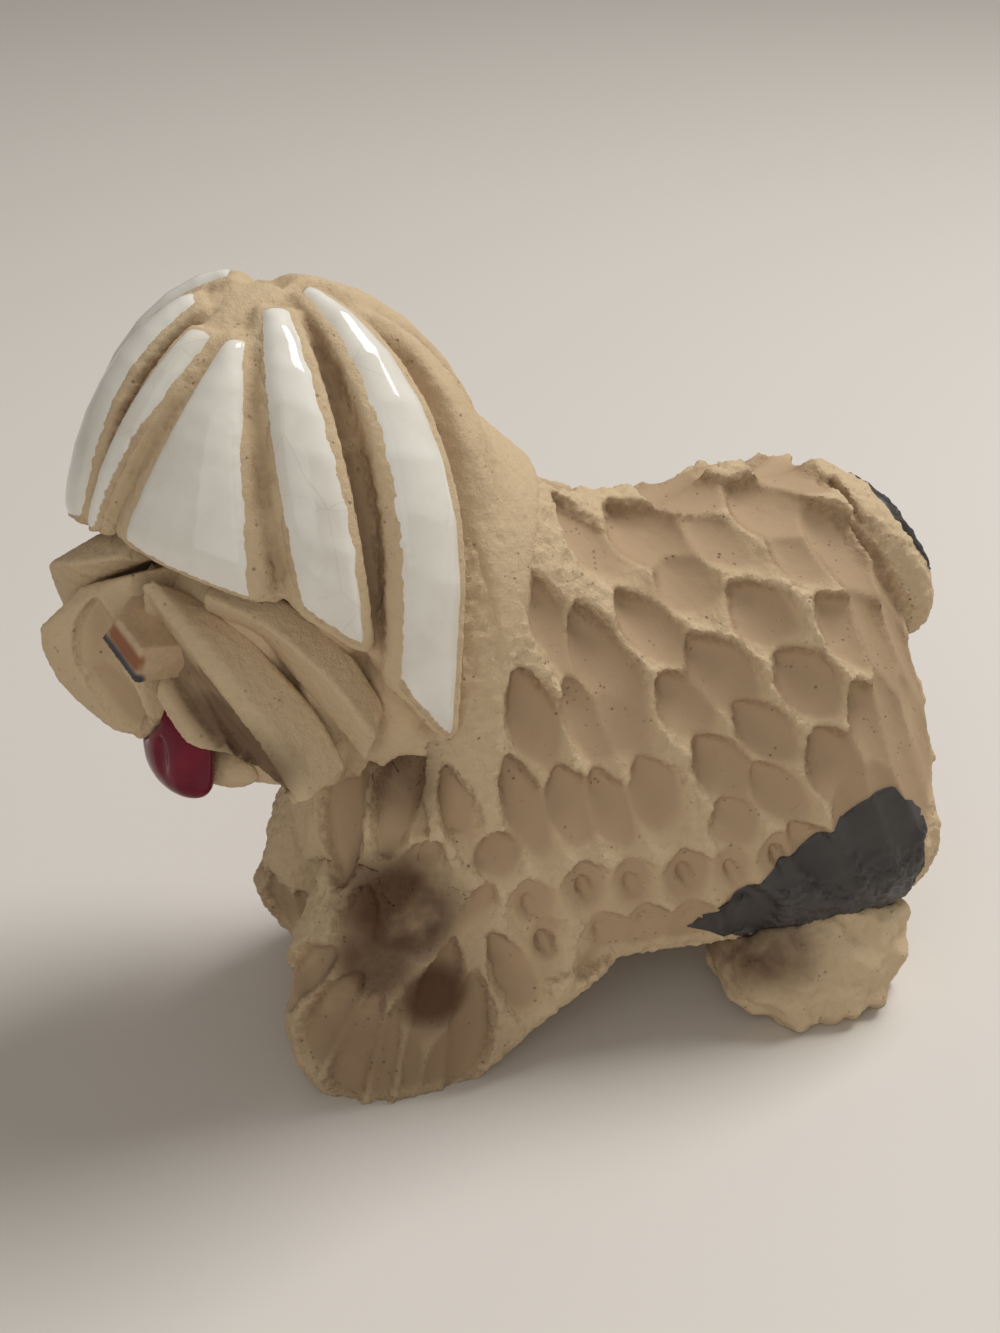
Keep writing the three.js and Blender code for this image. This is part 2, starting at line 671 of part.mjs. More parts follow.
/** The tight convex wrap of some points, or of blocks round them. */
function wrapped(points, grow = 0) {
  const steps = grow > 0 ? [-grow, grow] : [0];
  return wasm.Manifold.hull(points.flatMap(({ x, y, z }) => steps.flatMap(
    (dx) => steps.flatMap((dy) => steps.map((dz) => [x + dx, y + dy, z + dz])),
  )));
}

/** Broad leaf with a round edge that flares ahead, as the right half of the moustache. */
function leaf(grow) {
  const rim = LEAF_EDGE.map(([aside, inset, drop]) => new THREE.Vector3(
    aside * MOUSTACHE_SPREAD, MUZZLE_Y + inset * RIGHT_FLARE, MUZZLE_TOP - drop * MOUSTACHE_DROP,
  ));
  return wrapped([...rim, ...rim.map((point) => movedIn(point, BROW_REACH / 2))], grow);
}

/** Half of the moustache as on the left: lip, hollow front, crest, and the valley behind the crest. */
function moustache(side, grow = 0) {
  if (side < 0) return leaf(grow);
  const lip = petalEdge(LIP_EDGE, side);
  const crest = petalEdge(CREST_EDGE, side);
  const ridge = petalEdge(CHEEK_EDGE, side);
  return petal([lip, hollow(lip, crest), crest, hollow(crest, ridge)], grow);
}

/** A cheek as on the left, between the moustache and the hem of the white locks. */
function cheek(side, grow = 0) {
  const ridge = petalEdge(CHEEK_EDGE, side);
  const valley = hollow(petalEdge(CREST_EDGE, side), ridge);
  const top = ridge.map((point) => movedIn(point, CHEEK_DEPTH, 0.25 * CHEEK_WIDTH));
  return petal([valley, ridge, top], grow);
}

/** Blocky nose with a slanting front, wider at its root. */
function nose(grow = 0) {
  const centre = MUZZLE_TOP - 0.89 * NOSE_HEIGHT;
  const corners = (outline, y) => outline.map(([across, up]) => new THREE.Vector3(
    0.5 * across * NOSE_WIDTH, y, centre + 0.5 * up * NOSE_HEIGHT,
  ));
  return wrapped([
    ...corners(NOSE_FRONT, MUZZLE_Y - 0.2 * NOSE_REACH), ...corners(NOSE_ROOT, MUZZLE_Y + 1.6 * NOSE_REACH),
  ], grow);
}

/** Tongue that hangs out of the mouth under the nose. */
function tongue(grow = 0) {
  const path = new THREE.CatmullRomCurve3([
    new THREE.Vector3(0, MUZZLE_Y + 1.7 * TONGUE_DEPTH, MOUTH_HEIGHT + 0.1 * TONGUE_LENGTH),
    new THREE.Vector3(0, MUZZLE_Y + 1.3 * TONGUE_DEPTH, MOUTH_HEIGHT - 0.3 * TONGUE_LENGTH),
    new THREE.Vector3(0, MUZZLE_Y + 1.2 * TONGUE_DEPTH, MOUTH_HEIGHT - 0.7 * TONGUE_LENGTH),
    new THREE.Vector3(0, MUZZLE_Y + 1.3 * TONGUE_DEPTH, MOUTH_HEIGHT - TONGUE_LENGTH),
  ]);
  const width = profile([[0, 0.8], [0.4, 1], [0.75, 0.95], [0.92, 0.7], [1, 0.35]]);
  return sweep(path, {
    width: (s) => TONGUE_WIDTH * width(s),
    depth: (s) => TONGUE_DEPTH * width(s),
    facing: FORWARD,
    steps: 12,
    grow,
  });
}

/** Rounded chin behind the tongue. */
function chin() {
  const z = HEAD_BASE + 0.3 * CHIN_HEIGHT;
  const shape = new THREE.SphereGeometry(0.5, 20, 12);
  shape.scale(CHIN_WIDTH, CHIN_DEPTH, CHIN_HEIGHT);
  shape.translate(0, MUZZLE_Y + 1.25 * CHIN_DEPTH, z);
  return body(shape);
}

// Chest locks, paws and tail, in the frame of the dog

/** Apron of hair on the chest with a scalloped hem. */
function bib(grow = 0) {
  const middle = CHEST_Y + 0.26 * BIB_WIDTH;
  const reach = middle - CHEST_Y + BIB_REACH;
  const lobes = (turn) => Math.abs(Math.cos(3.5 * turn));
  const rings = spread(0, 1, 7).map((up) => spread(0, 2 * Math.PI, 56).slice(0, -1).map((turn) => {
    const ahead = Math.cos(turn);
    const hem = BIB_HEM + BIB_SCALLOP * (1 - lobes(turn));
    const swell = 0.86 + 0.14 * Math.sin(Math.PI * (0.2 + 0.7 * up));
    return new THREE.Vector3(
      ((BIB_WIDTH / 2) * swell + grow) * Math.sin(turn),
      middle - (ahead > 0 ? reach * swell + grow : 0.3 * reach + grow) * ahead,
      THREE.MathUtils.lerp(hem - grow, BIB_HEM + BIB_HEIGHT + grow, up),
    );
  }));
  return loft(rings);
}

/**
 * Point on a paw that is given by level sections.
 * @param {number[]} section shares of height, width, reach ahead and reach behind
 * @param {number} turn angle round the paw, from the outer side at 0 to the toes at -90 degrees
 */
function pawPoint({ x, front, width, length, height, grow = 0 }, [up, wide, ahead, behind], turn) {
  const start = front - ahead * length - grow;
  const end = front + length + behind * length + grow;
  return new THREE.Vector3(
    x + ((width / 2) * wide + grow) * bend(Math.cos(turn), 0.8),
    (start + end) / 2 + ((end - start) / 2) * bend(Math.sin(turn), 0.8),
    up * (height + grow),
  );
}

/** Paw skinned over its level sections. */
function paw(shape) {
  const turns = spread(0, 2 * Math.PI, 28).slice(0, -1);
  return loft(shape.sections.map((section) => turns.map((turn) => pawPoint(shape, section, turn))));
}

/** Place and normal on a paw at a share of its height. */
function onPaw(shape, up, turn) {
  const next = Math.max(shape.sections.findIndex(([height]) => height >= up), 1);
  const [low, high] = [shape.sections[next - 1], shape.sections[next]];
  const share = (up - low[0]) / (high[0] - low[0]);
  const section = low.map((value, i) => THREE.MathUtils.lerp(value, high[i], share));
  const round = pawPoint(shape, section, turn + 0.05).sub(pawPoint(shape, section, turn - 0.05));
  const rise = pawPoint(shape, high, turn).sub(pawPoint(shape, low, turn));
  return { place: pawPoint(shape, section, turn), normal: round.cross(rise).normalize() };
}

// Scoops that fan down a front paw: angle round the paw in degrees and share of its height where each
// bites in and where it fades out, then shares of the width and depth
const TOE_SCOOPS = [
  [-39, 0.51, -48, 0.19, 0.95, 1], [-76, 0.64, -71, 0.37, 0.75, 0.8], [-35, 0.49, -24, 0.11, 0.7, 0.7],
  [-19, 0.61, -13, 0.1, 0.6, 0.75], [-7, 0.55, -9, 0.29, 1, 1.3], [-2, 0.5, 1, 0.13, 0.65, 0.7],
  [4, 0.59, 12, 0.35, 0.9, 0.9], [-24, 0.9, -32, 0.62, 1.7, 0.9], [-112, 0.46, -118, 0.14, 0.8, 0.9],
  [-138, 0.4, -142, 0.12, 0.8, 0.9],
];

/** A carved front paw as on the left side. The right one stands a little behind, with its toes drawn in. */
function frontPaw(side) {
  const tuck = side > 0 ? 0 : FRONT_TOE_TUCK / FRONT_PAW_LENGTH;
  const shape = {
    x: (BODY_WIDTH - FRONT_PAW_WIDTH) / 2 - FRONT_PAW_INSET,
    front: CHEST_Y - PAW_OVERHANG + (side > 0 ? 0 : FRONT_PAW_STAGGER),
    width: FRONT_PAW_WIDTH,
    length: FRONT_PAW_LENGTH,
    height: FRONT_LEG_HEIGHT,
    sections: [
      [0, 0.92, -0.04 - tuck, -0.12], [0.07, 1, 0.02 - 0.8 * tuck, 0], [0.19, 1.02, 0.06 - 0.4 * tuck, 0.2],
      [0.33, 1.02, 0.07, 0.52], [0.45, 1, 0.05, 0.6], [0.6, 0.95, -0.02, 0.55], [0.81, 0.88, -0.17, 0.5],
      [1, 0.75, -0.33, 0.4],
    ],
  };
  const scoops = TOE_SCOOPS.map(([from, high, to, low, wide, deep]) => scoop(
    onPaw(shape, high, THREE.MathUtils.degToRad(from)),
    onPaw(shape, low, THREE.MathUtils.degToRad(to)),
    { width: wide * TOE_SCOOP_WIDTH, depth: deep * TOE_SCOOP_DEPTH, fade: deep * TOE_SCOOP_FADE },
  ));
  return cutBy(paw(shape), ...scoops);
}

/** A rear paw as on the left side. */
function rearPaw(grow = 0) {
  return paw({
    x: (BODY_WIDTH - REAR_PAW_WIDTH) / 2 + REAR_PAW_OUTSET,
    front: REAR_Y - REAR_PAW_LENGTH - REAR_PAW_SETBACK,
    width: REAR_PAW_WIDTH,
    length: REAR_PAW_LENGTH,
    height: REAR_PAW_HEIGHT,
    sections: [
      [0, 0.88, -0.07, -0.05], [0.15, 1, 0, 0], [0.38, 1.04, 0.02, 0.01],
      [0.6, 0.96, -0.03, -0.02], [0.75, 0.82, -0.08, -0.05], [1, 0.6, -0.2, -0.15],
    ],
    grow,
  });
}

/** Stub of a tail that hugs the rump. */
function tail(grow = 0) {
  const drop = TAIL_LENGTH;
  const path = new THREE.CatmullRomCurve3([
    new THREE.Vector3(0, REAR_Y - 0.62 * drop, BACK_HEIGHT - 0.17 * drop),
    new THREE.Vector3(0, REAR_Y - 0.3 * drop, BACK_HEIGHT - 0.42 * drop),
    new THREE.Vector3(0, REAR_Y - 0.13 * drop, BACK_HEIGHT - 0.72 * drop),
    new THREE.Vector3(0, REAR_Y - 0.08 * drop, BACK_HEIGHT - drop),
  ]);
  const width = profile([[0, 0.7], [0.4, 1], [0.8, 0.9], [1, 0.5]]);
  return sweep(path, {
    width: (s) => TAIL_WIDTH * width(s),
    depth: (s) => TAIL_THICKNESS * (0.5 + 0.5 * width(s)),
    facing: new THREE.Vector3(0, 1, 0.6),
    sides: 20,
    grow,
  });
}

// Charcoal glaze: thin skins that follow the coat and the tail inside an outline

/** Prism over a rounded outline in the side view, reaching out from the middle plane. */
function sidePrism(outline) {
  const corners = [...outline, outline[0]].map(([y, z]) => new THREE.Vector2(y, z));
  const shape = new THREE.Shape(new THREE.SplineCurve(corners).getPoints(28).slice(0, -1));
  const prism = new THREE.ExtrudeGeometry(shape, { depth: BODY_WIDTH, bevelEnabled: false });
  const [across, along, up] = [0, 1, 2].map((axis) => new THREE.Vector3().setComponent(axis, 1));
  prism.applyMatrix4(new THREE.Matrix4().makeBasis(along, up, across));
  return body(prism);
}

/** The part of a thin layer over a body that lies inside an outline on one side. */
function skin(grown, outline, side) {
  const layer = grown(LUTE_GAP + PATCH_GLAZE).subtract(grown(LUTE_GAP));
  return layer.intersect(onSide(sidePrism(outline), side));
}

const HAUNCH_OUTLINE = [
  [-1, 0.28], [-0.87, 0.49], [-0.67, 0.7], [-0.5, 0.92], [-0.37, 1],
  [-0.23, 0.84], [-0.185, 0.59], [-0.22, 0.17], [-0.3, 0.035], [-0.565, 0.05],
].map(([y, z]) => [REAR_Y + y * HAUNCH_PATCH_LENGTH, COAT_HEM + z * HAUNCH_PATCH_HEIGHT]);
const TAIL_OUTLINE = [
  [-0.47, -0.03], [-0.2, -0.2], [0, -0.5], [0.07, -0.8], [-0.1, -0.8], [-0.27, -0.5], [-0.47, -0.3],
].map(([y, z]) => [REAR_Y + y * TAIL_LENGTH, BACK_HEIGHT + z * TAIL_LENGTH]);

/** The finished dog, with the origin under the middle of its box. */
function dog() {
  const figure = new THREE.Group();
  const headGroup = new THREE.Group();
  headGroup.position.set(CROWN_ASIDE, CROWN_Y, 0);
  headGroup.rotation.z = HEAD_TURN;
  figure.add(headGroup);

  const turn = THREE.MathUtils.radToDeg(HEAD_TURN);
  const toHead = (solid) => solid.translate([-CROWN_ASIDE, -CROWN_Y, 0]).rotate([0, 0, -turn]);
  const toDog = (solid) => solid.rotate([0, 0, turn]).translate([CROWN_ASIDE, CROWN_Y, 0]);

  const coatRoom = coat(LUTE_GAP);
  const headRoom = head(LUTE_GAP);
  const bibRoom = bib(LUTE_GAP);
  const coatInHead = toHead(coatRoom);
  const muzzleRoom = Object.values(SIDES).flatMap((side) => [
    onSide(moustache(side, LUTE_GAP), side),
    onSide(cheek(side, LUTE_GAP), side),
  ]);

  const covers = Object.values(SIDES).flatMap((side) => [
    onSide(sidePrism(HAUNCH_OUTLINE), side), onSide(frontPaw(side), side), onSide(rearPaw(), side),
  ]);
  figure.add(piece('coat', carvedCoat([...covers, bib(), tail(), toDog(head())]), CLAY));
  figure.add(piece('chest_locks', cutBy(bib(), coatRoom, toDog(headRoom)), CLAY));
  figure.add(piece('tail_stub', cutBy(tail(), coatRoom), CLAY));
  headGroup.add(piece('head', cutBy(head(), coatInHead), CLAY));

  Object.entries(LOCKS).forEach(([place, lock]) => {
    headGroup.add(piece(`white_lock_${place}`, cutBy(whiteLock(lock), headRoom, coatInHead), WHITE_GLAZE));
  });
  Object.entries(SIDES).forEach(([hand, side]) => {
    const half = onSide(moustache(side).intersect(leftOfParting()), side);
    headGroup.add(piece(`moustache_${hand}`, cutBy(half, headRoom, coatInHead), CLAY));
    const above = onSide(cheek(side).intersect(leftOfParting()), side);
    const below = onSide(moustache(side, LUTE_GAP), side);
    headGroup.add(piece(`cheek_${hand}`, cutBy(above, headRoom, below, coatInHead), CLAY));
    const frontLeg = onSide(frontPaw(side), side);
    figure.add(piece(`front_paw_${hand}`, cutBy(frontLeg, coatRoom, bibRoom), CLAY_SHADE));
    const rearLeg = onSide(rearPaw(), side);
    figure.add(piece(`rear_paw_${hand}`, cutBy(rearLeg, coatRoom), CLAY_SHADE));
    const patch = cutBy(skin(coat, HAUNCH_OUTLINE, side), onSide(rearPaw(LUTE_GAP), side));
    figure.add(piece(`haunch_glaze_${hand}`, patch, CHARCOAL_GLAZE));
  });

  const noseSolid = cutBy(nose(), headRoom, ...muzzleRoom);
  headGroup.add(piece('nose', noseSolid, NOSE_STAIN));
  const tongueSolid = cutBy(tongue(), headRoom, ...muzzleRoom, nose(LUTE_GAP));
  headGroup.add(piece('tongue', tongueSolid, RUBY_GLAZE));
  const chinSolid = cutBy(chin(), headRoom, ...muzzleRoom, tongue(LUTE_GAP), coatInHead);
  headGroup.add(piece('chin', chinSolid, CLAY));
  const tailSkin = skin(tail, TAIL_OUTLINE, SIDES.right);
  figure.add(piece('tail_glaze', cutBy(tailSkin, coatRoom), CHARCOAL_GLAZE));

  figure.updateMatrixWorld(true);
  const box = new THREE.Box3().setFromObject(figure, true);
  const middle = box.getCenter(new THREE.Vector3());
  figure.position.set(-middle.x, -middle.y, -box.min.z);
  return figure;
}

export default dog();
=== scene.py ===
"""Looks of a carved stoneware dog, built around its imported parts."""

import logging
import math
import random
from dataclasses import dataclass, field
from enum import Enum
from typing import Callable, Iterable, Sequence

import bmesh
import bpy
import numpy as np
from mathutils import Matrix, Vector, noise
from mathutils.bvhtree import BVHTree
from mathutils.kdtree import KDTree


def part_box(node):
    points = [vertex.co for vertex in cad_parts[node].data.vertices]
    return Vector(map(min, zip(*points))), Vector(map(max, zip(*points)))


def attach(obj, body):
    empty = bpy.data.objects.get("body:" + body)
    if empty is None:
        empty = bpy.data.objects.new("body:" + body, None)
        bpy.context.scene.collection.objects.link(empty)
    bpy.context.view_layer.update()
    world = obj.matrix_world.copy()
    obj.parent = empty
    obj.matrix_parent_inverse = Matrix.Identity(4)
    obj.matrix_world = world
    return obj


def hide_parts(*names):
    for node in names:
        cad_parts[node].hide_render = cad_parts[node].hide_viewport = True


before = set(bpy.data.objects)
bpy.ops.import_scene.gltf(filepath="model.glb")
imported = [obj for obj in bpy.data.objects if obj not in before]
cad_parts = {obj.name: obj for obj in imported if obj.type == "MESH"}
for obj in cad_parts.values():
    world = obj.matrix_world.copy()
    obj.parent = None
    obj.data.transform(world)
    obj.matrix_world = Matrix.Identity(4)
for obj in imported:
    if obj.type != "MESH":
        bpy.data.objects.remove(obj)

LOG = logging.getLogger("stoneware_dog")
MM = 0.001
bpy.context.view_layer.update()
TOOL_SHOULDER = 0.8
TOOL_NOSE = 0.0
STRIDES = (0.618034, 0.754878, 0.569840)
CROWN = Vector((-0.766, -32.566, 0)) * MM
DUSTY_CLAY = "b39a7c"


class Slot(Enum):
    """Kinds of material of the pieces."""

    CLAY = "clay"
    WHITE = "white_glaze"
    CHARCOAL = "charcoal_glaze"
    RUBY = "ruby_glaze"
    NOSE = "nose_stain"


class Side(Enum):
    """Sides of the dog, with the sign of x."""

    LEFT = 1
    RIGHT = -1

    @property
    def word(self) -> str:
        """The side as it stands in the names of the parts."""
        return self.name.lower()


class Cut(Enum):
    """Ways in which two bodies are joined by a tree."""

    DIFFERENCE = "DIFFERENCE"
    INTERSECT = "INTERSECT"
    UNION = "UNION"


def linear(colour: str) -> tuple[float, float, float, float]:
    """Turn a hex colour as seen on a screen into linear light.

    Args:
        colour: six hex digits, such as "c9b08a".

    Returns:
        Red, green, blue and an alpha of one.
    """
    def channel(value: int) -> float:
        """One screen value from 0 to 255 as linear light."""
        share = value / 255
        return share / 12.92 if share <= 0.04045 else ((share + 0.055) / 1.055) ** 2.4

    red, green, blue = (channel(int(colour[i:i + 2], 16)) for i in (0, 2, 4))
    return (red, green, blue, 1.0)


class Nodes:
    """Short hand for making and joining the nodes of a tree."""

    def __init__(self, tree: bpy.types.NodeTree) -> None:
        """Keep the tree that gets the nodes."""
        self.tree = tree

    def add(self, kind: str, inputs: dict | None = None, **settings: object) -> bpy.types.Node:
        """Make a node.

        Args:
            kind: type of the node.
            inputs: values or output sockets for its inputs, by name or by number.
            settings: properties of the node.

        Returns:
            The new node.
        """
        node = self.tree.nodes.new(kind)
        for key, value in settings.items():
            setattr(node, key, value)
        for key, value in (inputs or {}).items():
            self.feed(node.inputs[key], value)
        return node

    def feed(self, socket: bpy.types.NodeSocket, value: object) -> None:
        """Link an output to a socket, or set the socket's own value.

        Args:
            socket: the input.
            value: an output, or a value of the socket's kind.
        """
        if isinstance(value, bpy.types.NodeSocket):
            self.tree.links.new(value, socket)
        else:
            socket.default_value = value

    def math(self, operation: str, *values: object, clamp: bool = False) -> bpy.types.NodeSocket:
        """One step of arithmetic on numbers.

        Args:
            operation: name of the step.
            values: numbers or outputs.
            clamp: whether the result stays from 0 to 1.

        Returns:
            The result.
        """
        node = self.add("ShaderNodeMath", operation=operation, use_clamp=clamp)
        for i, value in enumerate(values):
            self.feed(node.inputs[i], value)
        return node.outputs[0]

    def vector(self, operation: str, *values: object) -> bpy.types.Node:
        """One step of arithmetic on vectors.

        Args:
            operation: name of the step.
            values: vectors or outputs.

        Returns:
            The node.
        """
        node = self.add("ShaderNodeVectorMath", operation=operation)
        for i, value in enumerate(values):
            self.feed(node.inputs[i], value)
        return node

    def smooth(self, value: object, low: float, high: float) -> bpy.types.NodeSocket:
        """A share that rises smoothly from 0 at low to 1 at high.

        Args:
            value: number or output.
            low: value that gives 0.
            high: value that gives 1.

        Returns:
            The share.
        """
        node = self.add("ShaderNodeMapRange", interpolation_type="SMOOTHSTEP")
        self.feed(node.inputs["Value"], value)
        self.feed(node.inputs["From Min"], low)
        self.feed(node.inputs["From Max"], high)
        return node.outputs["Result"]

    def noise(
        self, place: object, scale: float, detail: float = 3.0, rough: float = 0.55,
    ) -> bpy.types.NodeSocket:
        """Cloudy noise at a place, centred on one half.

        Args:
            place: output with a place.
            scale: fineness.
            detail: count of finer layers.
            rough: weight of the finer layers.

        Returns:
            The noise.
        """
        node = self.add("ShaderNodeTexNoise", {"Scale": scale, "Detail": detail, "Roughness": rough})
        self.feed(node.inputs["Vector"], place)
        return node.outputs[0]

    def blend(self, share: object, low: object, high: object) -> bpy.types.NodeSocket:
        """Mix two colours by a share.

        Args:
            share: share of the second colour.
            low: first colour.
            high: second colour.

        Returns:
            The mixed colour.
        """
        node = self.add("ShaderNodeMix", data_type="RGBA")
        self.feed(node.inputs[0], share)
        self.feed(node.inputs[6], low)
        self.feed(node.inputs[7], high)
        return node.outputs[2]

    def times(self, *values: object) -> bpy.types.NodeSocket:
        """Product of two numbers."""
        return self.math("MULTIPLY", *values)

    def swing(self, value: object, amount: float) -> bpy.types.NodeSocket:
        """Noise round one half as a swing to either side of zero."""
        return self.times(self.math("SUBTRACT", value, 0.5), amount)


class FinishTree(Nodes):
    """The nodes of a new material."""

    def __init__(self, name: str) -> None:
        """Make a material with its shader and the place in the piece.

        Args:
            name: name of the material.
        """
        self.stuff = bpy.data.materials.new(name)
        self.stuff.use_nodes = True
        super().__init__(self.stuff.node_tree)
        self.shader = self.tree.nodes["Principled BSDF"]
        self.place = self.add("ShaderNodeTexCoord").outputs["Object"]

    def share(self, name: str) -> bpy.types.NodeSocket:
        """A share that is stored on the points of the piece."""
        return self.add("ShaderNodeAttribute", attribute_name=name).outputs["Fac"]

    def set(self, **values: object) -> None:
        """Set inputs of the shader, with _ for each space."""
        for name, value in values.items():
            self.feed(self.shader.inputs[name.replace("_", " ")], value)

    def bump(self, height: object, strength: float, distance: float) -> None:
        """Give the surface a fine relief."""
        node = self.add("ShaderNodeBump", {"Height": height, "Strength": strength, "Distance": distance})
        self.set(Normal=node.outputs[0])


class ShapeTree(Nodes):
    """A geometry tree with named inputs that is run once on an object."""

    def __init__(self, name: str) -> None:
        """Make an empty tree with geometry in and out.

        Args:
            name: name of the tree.
        """
        group = bpy.data.node_groups.new(name, "GeometryNodeTree")
        group.interface.new_socket("Geometry", in_out="INPUT", socket_type="NodeSocketGeometry")
        group.interface.new_socket("Geometry", in_out="OUTPUT", socket_type="NodeSocketGeometry")
        super().__init__(group)
        self.start = self.add("NodeGroupInput")
        self.end = self.add("NodeGroupOutput")

    def take(self, name: str, kind: str) -> bpy.types.NodeSocket:
        """Add a named input and give its socket inside the tree."""
        self.tree.interface.new_socket(name, in_out="INPUT", socket_type=f"NodeSocket{kind}")
        return self.start.outputs[name]

    def shape_of(self, name: str) -> bpy.types.NodeSocket:
        """Geometry of an object that is a named input."""
        return self.add("GeometryNodeObjectInfo", {"Object": self.take(name, "Object")}).outputs["Geometry"]

    def attribute(self, name: str, kind: str = "FLOAT") -> bpy.types.NodeSocket:
        """A named attribute of the geometry."""
        node = self.add("GeometryNodeInputNamedAttribute", {"Name": name}, data_type=kind)
        return node.outputs["Attribute"]

    def store(self, shape: object, name: str, value: object) -> bpy.types.NodeSocket:
        """Store a number on every point.

        Args:
            shape: the geometry.
            name: name of the attribute.
            value: number or output.

        Returns:
            The geometry with its attribute.
        """
        node = self.add("GeometryNodeStoreNamedAttribute", {"Name": name}, data_type="FLOAT", domain="POINT")
        self.feed(node.inputs["Geometry"], shape)
        self.feed(node.inputs["Value"], value)
        return node.outputs[0]

    def close(self, shape: object) -> None:
        """End the tree with plain geometry and the material that it is given.

        Args:
            shape: geometry that the tree gives.
        """
        real = self.add("GeometryNodeRealizeInstances", {"Geometry": shape})
        coat = self.add("GeometryNodeSetMaterial", {"Geometry": real.outputs[0]})
        self.feed(coat.inputs["Material"], self.take("Material", "Material"))
        self.feed(self.end.inputs[0], coat.outputs[0])

    def run(self, target: bpy.types.Object, **values: object) -> None:
        """Run the tree on an object and keep the result as its plain mesh.

        Args:
            target: object whose mesh goes in and is replaced.
            values: named inputs, with _ for each space.
        """
        modifier = target.modifiers.new(self.tree.name, "NODES")
        modifier.node_group = self.tree
        names = {
            item.name: item.identifier
            for item in self.tree.interface.items_tree
            if item.item_type == "SOCKET" and item.in_out == "INPUT"
        }
        for name, value in values.items():
            modifier[names[name.replace("_", " ")]] = value
        settle(target)


def settle(target: bpy.types.Object) -> None:
    """Replace an object's mesh by its evaluated mesh and drop its modifiers.

    Args:
        target: object whose modifiers are applied.
    """
    graph = bpy.context.evaluated_depsgraph_get()
    mesh = bpy.data.meshes.new_from_object(
        target.evaluated_get(graph), preserve_all_data_layers=True, depsgraph=graph,
    )
    old = target.data
    target.modifiers.clear()
    target.data = mesh
    mesh.name = target.name
    bpy.data.meshes.remove(old)


def show(name: str, mesh: bpy.types.Mesh) -> bpy.types.Object:
    """Put a mesh into the scene as an object at the origin.

    Args:
        name: name of the object.
        mesh: its mesh.

    Returns:
        The object.
    """
    thing = bpy.data.objects.new(name, mesh)
    bpy.context.scene.collection.objects.link(thing)
    return thing


def placed(name: str, shape: bmesh.types.BMesh) -> bpy.types.Object:
    """Turn a loose shape into an object at the origin.

    Args:
        name: name of the object and its mesh.
        shape: the shape, which is freed.

    Returns:
        The object.
    """
    mesh = bpy.data.meshes.new(name)
    shape.to_mesh(mesh)
    shape.free()
    return show(name, mesh)


def wrap_tight(shape: bmesh.types.BMesh, corners: Sequence[bmesh.types.BMVert]) -> None:
    """Wrap corners of a shape in a convex skin and drop the corners inside it.

    Args:
        shape: shape that holds the corners.
        corners: the corners.
    """
    made = bmesh.ops.convex_hull(shape, input=corners)
    within = made["geom_interior"] + made["geom_unused"]
    spare = {item for item in within if isinstance(item, bmesh.types.BMVert)}
    bmesh.ops.delete(shape, geom=list(spare), context="VERTS")


def discard(*things: bpy.types.Object) -> None:
    """Take helper objects out of the scene.

    Args:
        things: the objects.
    """
    for thing in things:
        mesh = thing.data
        bpy.data.objects.remove(thing)
        bpy.data.meshes.remove(mesh)


def positions(mesh: bpy.types.Mesh) -> np.ndarray:
    """Vertex places of a mesh as rows.

    Args:
        mesh: the mesh.

    Returns:
        One row for each vertex, in metres.
    """
    flat = np.empty(3 * len(mesh.vertices), dtype=np.float32)
    mesh.vertices.foreach_get("co", flat)
    return flat.reshape(-1, 3)


def move(mesh: bpy.types.Mesh, places: np.ndarray) -> None:
    """Set the vertex places of a mesh."""
    mesh.vertices.foreach_set("co", np.asarray(places, dtype=np.float32).ravel())
    mesh.update()


def directions(mesh: bpy.types.Mesh) -> np.ndarray:
    """Vertex normals of a mesh as rows.

    Args:
        mesh: the mesh.

    Returns:
        One row of unit length for each vertex.
    """
    flat = np.empty(3 * len(mesh.vertices), dtype=np.float32)
    mesh.vertex_normals.foreach_get("vector", flat)
    return flat.reshape(-1, 3)


def remesh(target: bpy.types.Object, voxel: float) -> None:
    """Give an object an even skin of small faces of the given size.

    Args:
        target: object whose mesh is replaced.
        voxel: size of the faces.
    """
    modifier = target.modifiers.new("even", "REMESH")
    modifier.mode = "VOXEL"
    modifier.voxel_size = voxel
    modifier.adaptivity = 0.0
    settle(target)


def soften(target: bpy.types.Object, rounds: int, factor: float = 0.5) -> None:
    """Smooth the corners of an object.

    Args:
        target: object whose mesh is smoothed.
        rounds: rounds of smoothing.
        factor: share of the way that a corner moves in a round.
    """
    modifier = target.modifiers.new("soften", "SMOOTH")
    modifier.factor = factor
    modifier.iterations = rounds
    settle(target)


def swell(target: bpy.types.Object, distance: float) -> None:
    """Move the surface of an object out along its normals."""
    move(target.data, positions(target.data) + distance * directions(target.data))


def twin(node: str, name: str) -> bpy.types.Object:
    """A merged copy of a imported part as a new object.

    Args:
        node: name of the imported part.
        name: name of the copy.

    Returns:
        The copy, with its faces looking outwards.
    """
    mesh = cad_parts[node].data.copy()
    mesh.name = name
    shape = bmesh.new()
    shape.from_mesh(mesh)
    bmesh.ops.remove_doubles(shape, verts=shape.verts, dist=0.002 * MM)
    shape.to_mesh(mesh)
    shape.free()
    mesh.materials.clear()
    return show(name, mesh)


def blank(node: str, name: str, voxel: float, grow: float = 0.0, rounds: int = 0) -> bpy.types.Object:
    """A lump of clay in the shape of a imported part, ready for carving.

    Args:
        node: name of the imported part.
        name: name of the lump.
        voxel: size of its faces.
        grow: distance by which its surface moves out, so that it closes the seam to its neighbours.
        rounds: rounds of smoothing.

    Returns:
        The lump.
    """
    lump = twin(node, name)
    remesh(lump, voxel)
    if rounds:
        soften(lump, rounds)
    if grow:
        swell(lump, grow)
    return lump


